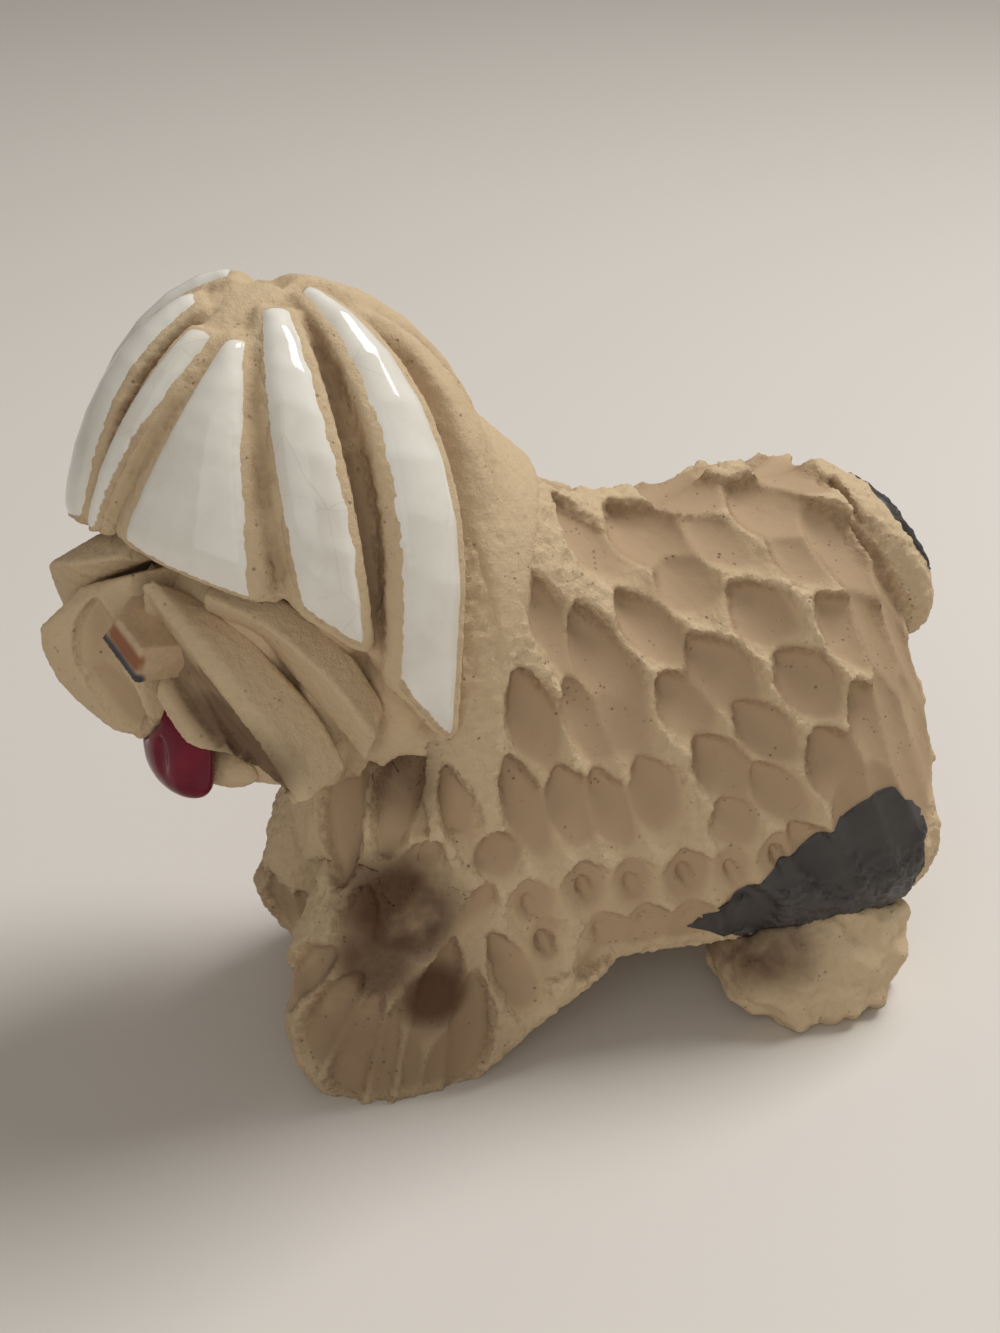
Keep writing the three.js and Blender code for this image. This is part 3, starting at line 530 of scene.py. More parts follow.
def filled(node: str, name: str, slab: float = 3.0 * MM, voxel: float = 1.0 * MM) -> bpy.types.Object:
    """The lump that a part was carved from, with its scoops filled up across the body.

    Args:
        node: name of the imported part, which lies along y.
        name: name of the lump.
        slab: half of the length of the slices that are wrapped tightly.
        voxel: size of the faces.

    Returns:
        The lump.
    """
    low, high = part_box(node)
    source = blank(node, f"{name}_source", voxel)
    places = positions(source.data)
    whole = bmesh.new()
    for y in np.arange(low[1], high[1] + slab, 0.7 * slab):
        near = places[np.abs(places[:, 1] - y) < slab]
        if len(near) < 8:
            continue
        wrap_tight(whole, [whole.verts.new(place) for place in near])
    discard(source)
    lump = placed(name, whole)
    remesh(lump, voxel)
    soften(lump, 5)
    return lump


class Surface:
    """A mesh that can be asked for places on it."""

    def __init__(self, thing: bpy.types.Object) -> None:
        """Index the faces of an object.

        Args:
            thing: the object.
        """
        mesh = thing.data
        self.tree = BVHTree.FromPolygons(
            [vertex.co for vertex in mesh.vertices], [list(face.vertices) for face in mesh.polygons],
        )

    def near(self, place: Vector) -> tuple[Vector, Vector]:
        """Nearest place on the surface and its normal."""
        spot, normal, _, _ = self.tree.find_nearest(place)
        return spot, normal

    def hit(self, start: Vector, way: Vector) -> tuple[Vector, Vector] | None:
        """Last place where a ray from inside leaves the surface, and its normal.

        Args:
            start: place inside.
            way: direction of the ray.

        Returns:
            The place and its normal, or None where the ray meets nothing.
        """
        found = None
        place = start.copy()
        for _ in range(8):
            spot, normal, _, _ = self.tree.ray_cast(place, way)
            if spot is None:
                break
            if normal.dot(way) > 0:
                found = (spot, normal)
            place = spot + way * 0.05 * MM
        return found


@dataclass(frozen=True)
class Gouge:
    """One scoop of the loop tool, from the arch where it bites in to the place where it fades."""

    start: Vector
    end: Vector
    normal: Vector
    width: float
    depth: float
    fade: float
    lift: float = 0.25

    @classmethod
    def between(
        cls, first: tuple[Vector, Vector], last: tuple[Vector, Vector],
        width: float, depth: float, fade: float,
    ) -> "Gouge":
        """A scoop between two places on a surface, square to the mean of their normals."""
        (start, level), (end, under) = first, last
        return cls(start, end, (level + under).normalized(), width, depth, fade)

    def frame(self) -> tuple[Vector, Vector, Vector]:
        """Place the tool so that its underside runs from the full depth to the faded depth.

        Returns:
            The centre of the tool, its turn as XYZ angles and its half sizes.
        """
        deep = self.start - self.normal * self.depth
        shallow = self.end - self.normal * self.fade
        along = (shallow - deep).normalized()
        across = self.normal.cross(along).normalized()
        up = along.cross(across)
        half = self.depth / (1 - self.lift)
        centre = (deep + shallow) / 2 + up * half
        turn = Matrix((along, across, up)).transposed().to_euler("XYZ")
        reach = (shallow - deep).length / 2 / TOOL_SHOULDER
        return centre, Vector(turn), Vector((reach, self.width / 2 / math.sqrt(1 - self.lift ** 2), half))


def loop_tool(boxy: float = 2.1, turns: int = 20) -> bpy.types.Object:
    """The loop that all scoops are cut with, pointed in plan and steep at its start.

    It is one unit in each half size.

    Args:
        boxy: power of its section, where 2 is round and more gives steeper walls.
        turns: points round a ring.

    Returns:
        A closed mesh object.
    """
    def bend(value: float) -> float:
        """Pull a point of the round section towards a corner."""
        return math.copysign(abs(value) ** (2 / boxy), value)

    def girth(x: float) -> tuple[float, float]:
        """Half width and half height of the loop at a place along it."""
        back = max((TOOL_NOSE - x) / (1 + TOOL_NOSE), 0)
        return 1 - back ** 2.1, math.sqrt(max(1 - back ** 7, 0))

    shape = bmesh.new()
    rows = []
    turned = [2 * math.pi * j / turns for j in range(turns)]
    for x in (-0.985, -0.95, -0.9, -0.8, -0.68, -0.54, -0.38, -0.2, TOOL_NOSE, 0.3, 0.65, 1.0):
        wide, tall = girth(x)
        rows.append([
            shape.verts.new((x, wide * bend(math.cos(turn)), tall * bend(math.sin(turn)))) for turn in turned
        ])
    start = shape.verts.new((-1, 0, 0))
    for low, high in zip(rows, rows[1:]):
        for j in range(turns):
            shape.faces.new((low[j], high[j], high[(j + 1) % turns], low[(j + 1) % turns]))
    for j in range(turns):
        shape.faces.new((start, rows[0][j], rows[0][(j + 1) % turns]))
    shape.faces.new(rows[-1])
    bmesh.ops.recalc_face_normals(shape, faces=shape.faces)
    return placed("loop_tool", shape)


def tube(name: str, rings: Sequence[Sequence[Vector]]) -> bpy.types.Object:
    """A closed body through rings of corners.

    Args:
        name: name of the body.
        rings: rings with the same number of corners each.

    Returns:
        The body.
    """
    shape = bmesh.new()
    rows = [[shape.verts.new(place) for place in ring] for ring in rings]
    count = len(rows[0])
    for low, high in zip(rows, rows[1:]):
        for i in range(count):
            j = (i + 1) % count
            shape.faces.new((low[i], low[j], high[j], high[i]))
    shape.faces.new(rows[0])
    shape.faces.new(rows[-1])
    bmesh.ops.triangulate(shape, faces=shape.faces)
    bmesh.ops.recalc_face_normals(shape, faces=shape.faces)
    return placed(name, shape)


def curved(rings: Sequence[Sequence[Vector]], steps: int = 6) -> list[list[Vector]]:
    """Rings that run in smooth curves through the given ones.

    Args:
        rings: rings with the same number of corners each.
        steps: rings for each gap.

    Returns:
        The rings, closer together.
    """
    last = len(rings) - 1
    dense = []
    for i in range(last):
        four = [rings[min(max(i + k, 0), last)] for k in (-1, 0, 1, 2)]
        for step in range(steps):
            t = step / steps
            dense.append([
                0.5 * (
                    2 * b + (c - a) * t + (2 * a - 5 * b + 4 * c - d) * t * t
                    + (3 * b - a - 3 * c + d) * t ** 3
                )
                for a, b, c, d in zip(*four)
            ])
    return dense + [list(rings[-1])]


@dataclass(frozen=True)
class Plan:
    """How one piece of clay is cut: its part, its faces, its scoops and its torn grain."""

    node: str
    gouges: Callable[[Surface], list[Gouge]] | None = None
    blank: float = 0.6 * MM
    voxel: float = 0.45 * MM
    grow: float = 0.25 * MM
    rounds: int = 2
    soften: int = 1
    tear: float = 0.7 * MM
    tear_scale: float = 700.0
    hollow_tear: float = 0.0
    hull: bool = False
    lump: bpy.types.Object | None = None


def hull(thing: bpy.types.Object) -> bpy.types.Object:
    """The tight convex wrap of an object, which shows how deep its hollows are.

    Args:
        thing: the object.

    Returns:
        The wrap.
    """
    shape = bmesh.new()
    shape.from_mesh(thing.data)
    wrap_tight(shape, shape.verts)
    return placed("hull", shape)


def jitter(count: int, stride: float) -> float:
    """A scattered value from -1 to 1 for each count, the same in every run."""
    return 2 * math.modf(count * stride)[0] - 1


def joined(name: str, things: Sequence[bpy.types.Object]) -> bpy.types.Object:
    """One helper object from several, which are taken out of the scene.

    Args:
        name: name of the new object.
        things: objects that go into it.

    Returns:
        The new object.
    """
    shape = bmesh.new()
    for thing in things:
        shape.from_mesh(thing.data)
    discard(*things)
    return placed(name, shape)


def paint(thing: bpy.types.Object, name: str, shares: np.ndarray) -> None:
    """Store a share for every point of a piece, for its material."""
    layer = thing.data.attributes.new(name, "FLOAT", "POINT")
    layer.data.foreach_set("value", np.clip(shares, 0, 1).astype(np.float32))


def crease(piece: bpy.types.Object, skin: Surface, slack: float = 0.02 * MM) -> None:
    """Mark the edges sharp at which the face of a joint meets the carved surface.

    Args:
        piece: a parted piece.
        skin: the carved surface before it was parted.
        slack: distance from the skin from which a face belongs to the joint.
    """
    mesh = piece.data
    joint: set[int] = set()
    outer: set[int] = set()
    for face in mesh.polygons:
        place, _ = skin.near(face.center)
        (joint if (place - face.center).length > slack else outer).update(
            mesh.loops[loop].edge_index for loop in face.loop_indices
        )
    for index in joint & outer:
        mesh.edges[index].use_edge_sharp = True


def ramp(values: np.ndarray, low: float, high: float) -> np.ndarray:
    """Shares that rise smoothly from 0 at low to 1 at high."""
    share = np.clip((values - low) / (high - low), 0, 1)
    return share * share * (3 - 2 * share)


class Carver:
    """Cuts scoops out of clay and gives the cut surface its torn grain."""

    def __init__(self) -> None:
        """Build the trees and the tool."""
        self.tool = loop_tool()
        self.scoops = self._scoop_tree()
        self.grain = self._grain_tree()
        self.depths = self._depth_tree()
        self.crumbs = self._crumb_tree()
        self.joins = {cut: self._join_tree(cut) for cut in Cut}

    @staticmethod
    def _scoop_tree() -> ShapeTree:
        """Tree that takes one tool shape for each place out of the clay.

        Returns:
            The tree.
        """
        tree = ShapeTree("scoops")
        tool = tree.add("GeometryNodeInstanceOnPoints", {
            "Points": tree.shape_of("Places"),
            "Instance": tree.shape_of("Tool"),
            "Scale": tree.attribute("size", "FLOAT_VECTOR"),
        })
        turn = tree.add("FunctionNodeEulerToRotation", {0: tree.attribute("turn", "FLOAT_VECTOR")})
        tree.feed(tool.inputs["Rotation"], turn.outputs[0])
        cut = tree.add("GeometryNodeMeshBoolean", operation="DIFFERENCE", solver="MANIFOLD")
        tree.feed(cut.inputs["Mesh 1"], tree.start.outputs["Geometry"])
        tree.feed(cut.inputs["Mesh 2"], tool.outputs[0])
        tree.close(cut.outputs["Mesh"])
        return tree

    @staticmethod
    def _join_tree(cut: Cut) -> ShapeTree:
        """Tree that cuts the clay by another body, keeps what they share or joins the two.

        Args:
            cut: how the two bodies are joined.

        Returns:
            The tree.
        """
        tree = ShapeTree(cut.value.lower())
        join = tree.add("GeometryNodeMeshBoolean", operation=cut.value, solver="MANIFOLD")
        first = "Mesh 1" if cut is Cut.DIFFERENCE else "Mesh 2"
        tree.feed(join.inputs[first], tree.start.outputs["Geometry"])
        tree.feed(join.inputs["Mesh 2"], tree.shape_of("Other"))
        tree.close(join.outputs["Mesh"])
        return tree

    @staticmethod
    def _grain_tree() -> ShapeTree:
        """Tree that stores how deep and how steep the cut is, and tears the uncut ridges.

        Returns:
            The tree.
        """
        tree = ShapeTree("grain")
        uncut = tree.shape_of("Uncut")
        near = tree.add("GeometryNodeProximity", {"Geometry": uncut}, target_element="FACES")
        normal = tree.add("GeometryNodeInputNormal").outputs[0]
        level = tree.add("GeometryNodeSampleNearestSurface", {"Mesh": uncut}, data_type="FLOAT_VECTOR")
        tree.feed(level.inputs["Value"], normal)
        place = tree.add("GeometryNodeInputPosition").outputs[0]
        above = tree.vector("SUBTRACT", near.outputs["Position"], place).outputs[0]
        depth = tree.vector("DOT_PRODUCT", above, level.outputs[0]).outputs["Value"]
        hollow = tree.smooth(depth, 0.25 * MM, 1.7 * MM)
        lean = tree.vector("DOT_PRODUCT", level.outputs[0], normal).outputs["Value"]
        steep = tree.smooth(lean, 0.93, 0.6)
        torn = tree.math("SUBTRACT", tree.noise(place, tree.take("Tear scale", "Float"), 4.0, 0.65), 0.5)
        ridge = tree.math("SUBTRACT", 1.0, hollow)
        rough = tree.math("ADD", ridge, tree.times(steep, 0.8), clamp=True)
        inside = tree.times(hollow, tree.take("Hollow tear", "Float"))
        amount = tree.math("ADD", tree.math("ADD", rough, inside), 0.12)
        reach = tree.times(tree.times(torn, amount), tree.take("Tear", "Float"))
        push = tree.vector("SCALE", normal)
        tree.feed(push.inputs["Scale"], reach)
        shape = tree.store(tree.start.outputs["Geometry"], "hollow", hollow)
        shape = tree.store(shape, "steep", steep)
        moved = tree.add("GeometryNodeSetPosition", {"Geometry": shape, "Offset": push.outputs[0]})
        tree.close(moved.outputs[0])
        return tree

    @staticmethod
    def _crumb_tree() -> ShapeTree:
        """Tree that takes loose bits with few points away.

        Returns:
            The tree.
        """
        tree = ShapeTree("crumbs")
        bit = tree.add("GeometryNodeInputMeshIsland").outputs["Island Index"]
        size = tree.add("GeometryNodeAccumulateField", {"Value": 1.0, "Group ID": bit}, domain="POINT")
        few = tree.math("LESS_THAN", size.outputs["Total"], tree.take("Least", "Float"))
        kept = tree.add("GeometryNodeDeleteGeometry", {"Selection": few})
        tree.feed(kept.inputs["Geometry"], tree.start.outputs["Geometry"])
        tree.close(kept.outputs[0])
        return tree

    @staticmethod
    def _depth_tree() -> ShapeTree:
        """Tree that samples the stored depth and steepness of another body.

        Returns:
            The tree.
        """
        tree = ShapeTree("depth")
        whole = tree.shape_of("Whole")
        shape = tree.start.outputs["Geometry"]
        for name in ("hollow", "steep"):
            seen = tree.add("GeometryNodeSampleNearestSurface", {"Mesh": whole}, data_type="FLOAT")
            tree.feed(seen.inputs["Value"], tree.attribute(name))
            shape = tree.store(shape, name, seen.outputs[0])
        tree.close(shape)
        return tree

    def scoop(self, clay: bpy.types.Object, gouges: Sequence[Gouge], finish: bpy.types.Material) -> None:
        """Cut gouges out of a lump of clay.

        Args:
            clay: the lump, a closed mesh.
            gouges: the scoops.
            finish: material of the lump.
        """
        frames = [gouge.frame() for gouge in gouges]
        mesh = bpy.data.meshes.new("places")
        mesh.from_pydata([tuple(centre) for centre, _, _ in frames], [], [])
        for name, index in (("turn", 1), ("size", 2)):
            layer = mesh.attributes.new(name, "FLOAT_VECTOR", "POINT")
            layer.data.foreach_set("vector", [value for row in frames for value in row[index]])
        places = show("places", mesh)
        self.scoops.run(clay, Places=places, Tool=self.tool, Material=finish)
        discard(places)

    def clean(self, piece: bpy.types.Object, finish: bpy.types.Material, least: float = 600.0) -> None:
        """Take loose bits with fewer points than the least count away."""
        self.crumbs.run(piece, Least=least, Material=finish)

    def recall(self, piece: bpy.types.Object, whole: bpy.types.Object, finish: bpy.types.Material) -> None:
        """Take the stored depth and steepness over from the clay that a piece was parted from."""
        self.depths.run(piece, Whole=whole, Material=finish)

    def join(
        self, clay: bpy.types.Object, other: bpy.types.Object, cut: Cut, finish: bpy.types.Material,
    ) -> None:
        """Cut a lump by another body, keep what both share or join the two."""
        self.joins[cut].run(clay, Other=other, Material=finish)

    def weather(
        self, clay: bpy.types.Object, uncut: bpy.types.Object, finish: bpy.types.Material,
        tear: float = 0.9 * MM, scale: float = 650.0, hollow_tear: float = 0.0,
    ) -> None:
        """Tear the ridges and store the depth of the cuts.

        Args:
            clay: carved lump.
            uncut: the lump before it was carved.
            finish: material of the lump.
            tear: reach of the torn grain.
            scale: fineness of the torn grain.
            hollow_tear: share of the tear that the hollows get.
        """
        self.grain.run(
            clay, Uncut=uncut, Tear=tear, Tear_scale=scale, Hollow_tear=hollow_tear, Material=finish,
        )

    def carve(self, plan: Plan, finish: bpy.types.Material) -> bpy.types.Object:
        """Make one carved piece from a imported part.

        Args:
            plan: how the piece is cut.
            finish: its material.

        Returns:
            The carved piece.
        """
        lump = plan.lump or blank(plan.node, f"{plan.node}_uncut", plan.blank, plan.grow, plan.rounds)
        carved = show(f"{plan.node}_carved", lump.data.copy())
        gouges = plan.gouges(Surface(lump)) if plan.gouges else []
        if gouges:
            self.scoop(carved, gouges, finish)
        remesh(carved, plan.voxel)
        soften(carved, plan.soften, 0.4)
        uncut = hull(lump) if plan.hull else lump
        self.weather(carved, uncut, finish, plan.tear, plan.tear_scale, plan.hollow_tear)
        if plan.hull:
            discard(uncut)
        discard(lump)
        return carved


@dataclass(frozen=True)
class ClayFinish:
    """Bare stoneware: pale torn ridges, smooth hollows that are greyer partly in their own tone and partly by
    painted shade, painted shade on steep walls, a brown stain that is partly painted shade, grog and
    pinholes.
    """

    name: str = "bare_stoneware"
    ridge: str = "cdb592"
    body: str = "c3aa87"
    # Floor colour of the scoops: partly the clay's own greyer tone, partly painted shade.
    hollow: str = "ae9475"
    pit: str = "5f4a34"
    # Painted shade for the steep walls of the scoops.
    shade: str = "7d5a3c"
    # Brown for the stain share: partly a real stain on the paws, partly painted shade under the bib and the
    # moustache.
    wash: str = "472b15"

    def material(self) -> bpy.types.Material:
        """Build the material.

        Returns:
            A node material that reads the hollow, steep and stain attributes.
        """
        nodes = FinishTree(self.name)
        place, hollow, steep = nodes.place, nodes.share("hollow"), nodes.share("steep")
        cloud = nodes.noise(place, 60.0, 4.0)
        # Deeper places are darkened towards the hollow colour, partly their own tone and partly painted
        # shade.
        drift = nodes.math("ADD", hollow, nodes.swing(cloud, 0.9), clamp=True)
        base = nodes.blend(nodes.smooth(drift, 0.05, 0.55), linear(self.ridge), linear(self.body))
        base = nodes.blend(nodes.smooth(drift, 0.5, 1.0), base, linear(self.hollow))
        grain = nodes.noise(place, 900.0, 3.0, 0.7)
        base = nodes.blend(nodes.times(nodes.smooth(grain, 0.52, 0.75), 0.32), base, linear(self.hollow))
        # Painted shade: steep walls are darkened, broken up by the grain.
        edge = nodes.times(steep, nodes.smooth(grain, 0.3, 0.6))
        base = nodes.blend(nodes.times(edge, 0.35), base, linear(self.shade))
        # Brown from the stain share, partly real stain and partly painted shade.
        wash = nodes.times(nodes.share("stain"), nodes.smooth(cloud, 0.15, 0.55))
        base = nodes.blend(nodes.times(wash, 0.92), base, linear(self.wash))
        holes = nodes.add("ShaderNodeTexVoronoi", {"Vector": place, "Scale": 900.0, "Randomness": 1.0})
        sparse = nodes.smooth(nodes.noise(place, 330.0, 3.0), 0.52, 0.7)
        pit = nodes.times(nodes.smooth(holes.outputs["Distance"], 0.26, 0.12), sparse)
        base = nodes.blend(nodes.times(pit, 0.6), base, linear(self.pit))
        rough = nodes.math("ADD", 0.68, nodes.times(grain, 0.3))
        nodes.set(Base_Color=base, Roughness=rough, Specular_IOR_Level=0.3)
        crumb = nodes.noise(place, 1500.0, 4.0, 0.75)
        coarse = nodes.math("ADD", nodes.math("SUBTRACT", 1.0, nodes.times(hollow, 0.8)), steep, clamp=True)
        grit = nodes.times(nodes.math("ADD", crumb, nodes.times(grain, 0.5)), coarse)
        nodes.bump(nodes.math("SUBTRACT", grit, nodes.times(pit, 0.8)), 0.6, 0.5 * MM)
        return nodes.stuff


@dataclass
class Coat:
    """The rows of scoops on the trunk, which fan out from the nape."""

    rows: int = 15
    step: float = 11.8 * MM
    pitch: float = 7.8 * MM
    slim: float = 0.84
    broad: float = 1.22
    overlap: float = 1.36
    depth: float = 3.2 * MM
    fade: float = 0.7 * MM
    source_ahead: float = 27.0 * MM
    source_above: float = 94.0 * MM
    fan_from: float = 36.0
    fan_to: float = 86.0
    collar: float = 34.5 * MM
    collar_low: float = 26.0 * MM
    bib_end: float = -13.0 * MM
    crown: Vector = field(default_factory=CROWN.copy)
    hem_band: float = 23.0 * MM
    rump_rows: tuple[float, ...] = (51.0, 40.5, 30.0, 20.5)
    scale_pitch: float = 7.6
    scale_rows: tuple[tuple[float, float, int], ...] = ((31.0, -5.0, 6), (22.0, -2.5, 5))
    scale_cuts: tuple[tuple[float, ...], ...] = ((5.0, 4.6, 10.4, 2.0), (2.2, 1.8, 4.4, 3.3))
    run: float = 1.26
    run_shares: tuple[float, ...] = (1.0, 0.78, 0.55)
    spread_out: float = 0.17
    spread_aside: float = 0.13
    spread_turn: float = 0.1
    spread_size: float = 0.12
    spread_depth: float = 0.2
    axis_drop: float = 10.0 * MM
    first_share: float = 0.01
    last_share: float = 0.96
    collar_from: float = 56.0 * MM
    collar_rise: float = 14.0 * MM
    bib_top: float = 62.0 * MM
    hem_from: float = 24.0 * MM
    hem_run: float = 20.0 * MM
    hem_fall: float = 0.45
    flatness: float = 0.72
    gouges: list[Gouge] = field(default_factory=list)

    def unroll(self, lump: bpy.types.Object) -> Callable[[float, float, float], tuple[Vector, Vector] | None]:
        """Make a map from unrolled places to the surface.

        Args:
            lump: the uncut trunk.

        Returns:
            A function of the distance along the body, the arc down from the spine and the sign of the
            side, which gives a place and its normal, or None past the belly.
        """
        surface = Surface(lump)
        low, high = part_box("coat")
        centre = (low[0] + high[0]) / 2
        middle = (low[2] + high[2]) / 2 - self.axis_drop
        length = high[1] - low[1]
        sections: dict[int, list[tuple[float, Vector, Vector]]] = {}

        def section(y: float) -> list[tuple[float, Vector, Vector]]:
            """Steps down the left side from the spine.

            Args:
                y: distance along the body.

            Returns:
                Arc, place and normal of each step.
            """
            key = round(2 * y / MM)
            if key not in sections:
                rows: list[tuple[float, Vector, Vector]] = []
                arc = 0.0
                for degrees in range(0, 168, 3):
                    turn = math.radians(degrees)
                    way = Vector((math.sin(turn), 0, math.cos(turn)))
                    found = surface.hit(Vector((centre, key / 2 * MM, middle)), way)
                    if found is None:
                        continue
                    if rows:
                        arc += (found[0] - rows[-1][1]).length
                    rows.append((arc, *found))
                sections[key] = rows
            return sections[key]

        def spot(y: float, arc: float, sign: float) -> tuple[Vector, Vector] | None:
            """Place on the surface for an unrolled place.

            Args:
                y: distance along the body.
                arc: arc down from the spine.
                sign: sign of the side.

            Returns:
                The place and its normal, or None past the belly or the ends.
            """
            if arc < 0:
                return spot(y, -arc, -sign)
            if not self.first_share < (y - low[1]) / length < self.last_share:
                return None
            rows = section(y)
            for (a, p, n), (b, q, m) in zip(rows, rows[1:]):
                if a <= arc <= b:
                    share = (arc - a) / max(b - a, 1e-9)
                    place = p.lerp(q, share)
                    normal = n.lerp(m, share).normalized()
                    aside = Vector(((1 - sign) * centre, 0, 0))
                    flip = Vector((sign, 1, 1))
                    return place * flip + aside, normal * flip
            return None

        return spot

    def lay_out(self, lump: bpy.types.Object) -> None:
        """Place the scoops in rows round a point above the nape, slim at the neck and broad behind.

        Args:
            lump: the uncut trunk.
        """
        spot = self.unroll(lump)
        low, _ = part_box("coat")
        source = low[1] - self.source_ahead
        first, last = math.radians(self.fan_to), math.radians(self.fan_from)
        count = 0
        for side in Side:
            for row in range(self.rows):
                reach = self.source_above + (row + 0.2) * self.step
                turn = first - 0.5 * (row % 2) * self.pitch / reach
                while turn > last:
                    count += 1
                    one, two, three = (jitter(count, stride) for stride in STRIDES)
                    behind = (first - turn) / (first - last)
                    width = self.pitch * (self.slim + (self.broad - self.slim) * behind)
                    out = reach + self.spread_out * two * self.step
                    lean = turn + self.spread_aside * one * width / reach
                    turn -= width / reach
                    y = source + out * math.cos(lean)
                    arc = out * math.sin(lean) - self.source_above
                    way = lean + self.spread_turn * three
                    run = self.step * (self.run + self.spread_size * one)
                    here = spot(y, arc, side.value) if arc > -0.4 * self.step else None
                    ends = [
                        spot(y + share * run * math.cos(way), arc + share * run * math.sin(way), side.value)
                        for share in self.run_shares
                    ]
                    ahead = next((end for end in ends if here and end and self.carved(here, end)), None)
                    if ahead:
                        self.gouges.append(Gouge.between(
                            here, ahead, self.overlap * width * (1 + self.spread_size * three),
                            self.depth * (1 + self.spread_depth * two), self.fade,
                        ))

    def carved(self, first: tuple[Vector, Vector], last: tuple[Vector, Vector]) -> bool:
        """Whether a scoop lies on a rather flat stretch, clear of the smooth collar and above the hem.

        Args:
            first: place and normal where it starts.
            last: place and normal where it ends.

        Returns:
            True where it can be cut.
        """
        (start, level), (end, under) = first, last
        low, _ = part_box("coat")
        rise = min(max((start.z - self.collar_from) / self.collar_rise, 0), 1)
        collar = self.collar_low + rise * (self.collar - self.collar_low)
        behind = min(max((end.y - self.hem_from) / self.hem_run, 0), 1)
        on_bib = start.y < self.bib_end and start.z < self.bib_top
        bare = on_bib or (start - self.crown).xy.length < collar
        hem = low[2] + self.hem_band * (1 - self.hem_fall * behind)
        return not bare and end.z > hem and level.dot(under) > self.flatness

    def rump(self, surface: Surface) -> list[Gouge]:
        """Rows of broad scoops down the rear end, below the tail.

        Args:
            surface: the uncut clay.

        Returns:
            The scoops.
        """
        low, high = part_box("coat")
        middle = (low[0] + high[0]) / 2
        found = []
        for row, height in enumerate(self.rump_rows):
            for i in range(-2, 3):
                x = middle + (i + 0.5 * (row % 2)) * self.broad * self.pitch
                x += MM * jitter(i + 9 * row, STRIDES[0])
                ends = [
                    surface.hit(Vector((x + lean * MM, 0, (height + up) * MM)), Vector((0, 1, 0)))
                    for lean, up in ((0, 6.5), (1.5 * jitter(i, STRIDES[1]), -7))
                ]
                if all(ends):
                    width = self.overlap * self.broad * self.pitch
                    found.append(Gouge.between(*ends, width, 0.8 * self.depth, self.fade))
        return found

    def scales(self, surface: Surface) -> list[Gouge]:
        """Rows of small scales above the hem, each a shallow scoop with a dimple in it.

        Args:
            surface: the uncut clay.

        Returns:
            The scoops.
        """
        low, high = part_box("coat")
        centre = (low[0] + high[0]) / 2
        found = []
        for side in Side:
            for row, (height, first, count) in enumerate(self.scale_rows):
                for i in range(count):
                    y = (first + i * self.scale_pitch) * MM + 0.7 * MM * jitter(i + 7 * row, STRIDES[0])
                    z = (height + 0.8 * jitter(i + 5 * row, STRIDES[1])) * MM
                    for rise, drop, wide, deep in self.scale_cuts:
                        starts = (
                            Vector((centre, y + lean * MM, z + up * MM))
                            for lean, up in ((-0.8, rise), (0.8, -drop))
                        )
                        ends = [surface.hit(start, Vector((side.value, 0, 0))) for start in starts]
                        if all(ends):
                            depth = deep * MM * (1 + self.spread_depth * jitter(i + row, STRIDES[2]))
                            found.append(Gouge.between(*ends, wide * MM, depth, 0.6 * deep * MM))
        return found


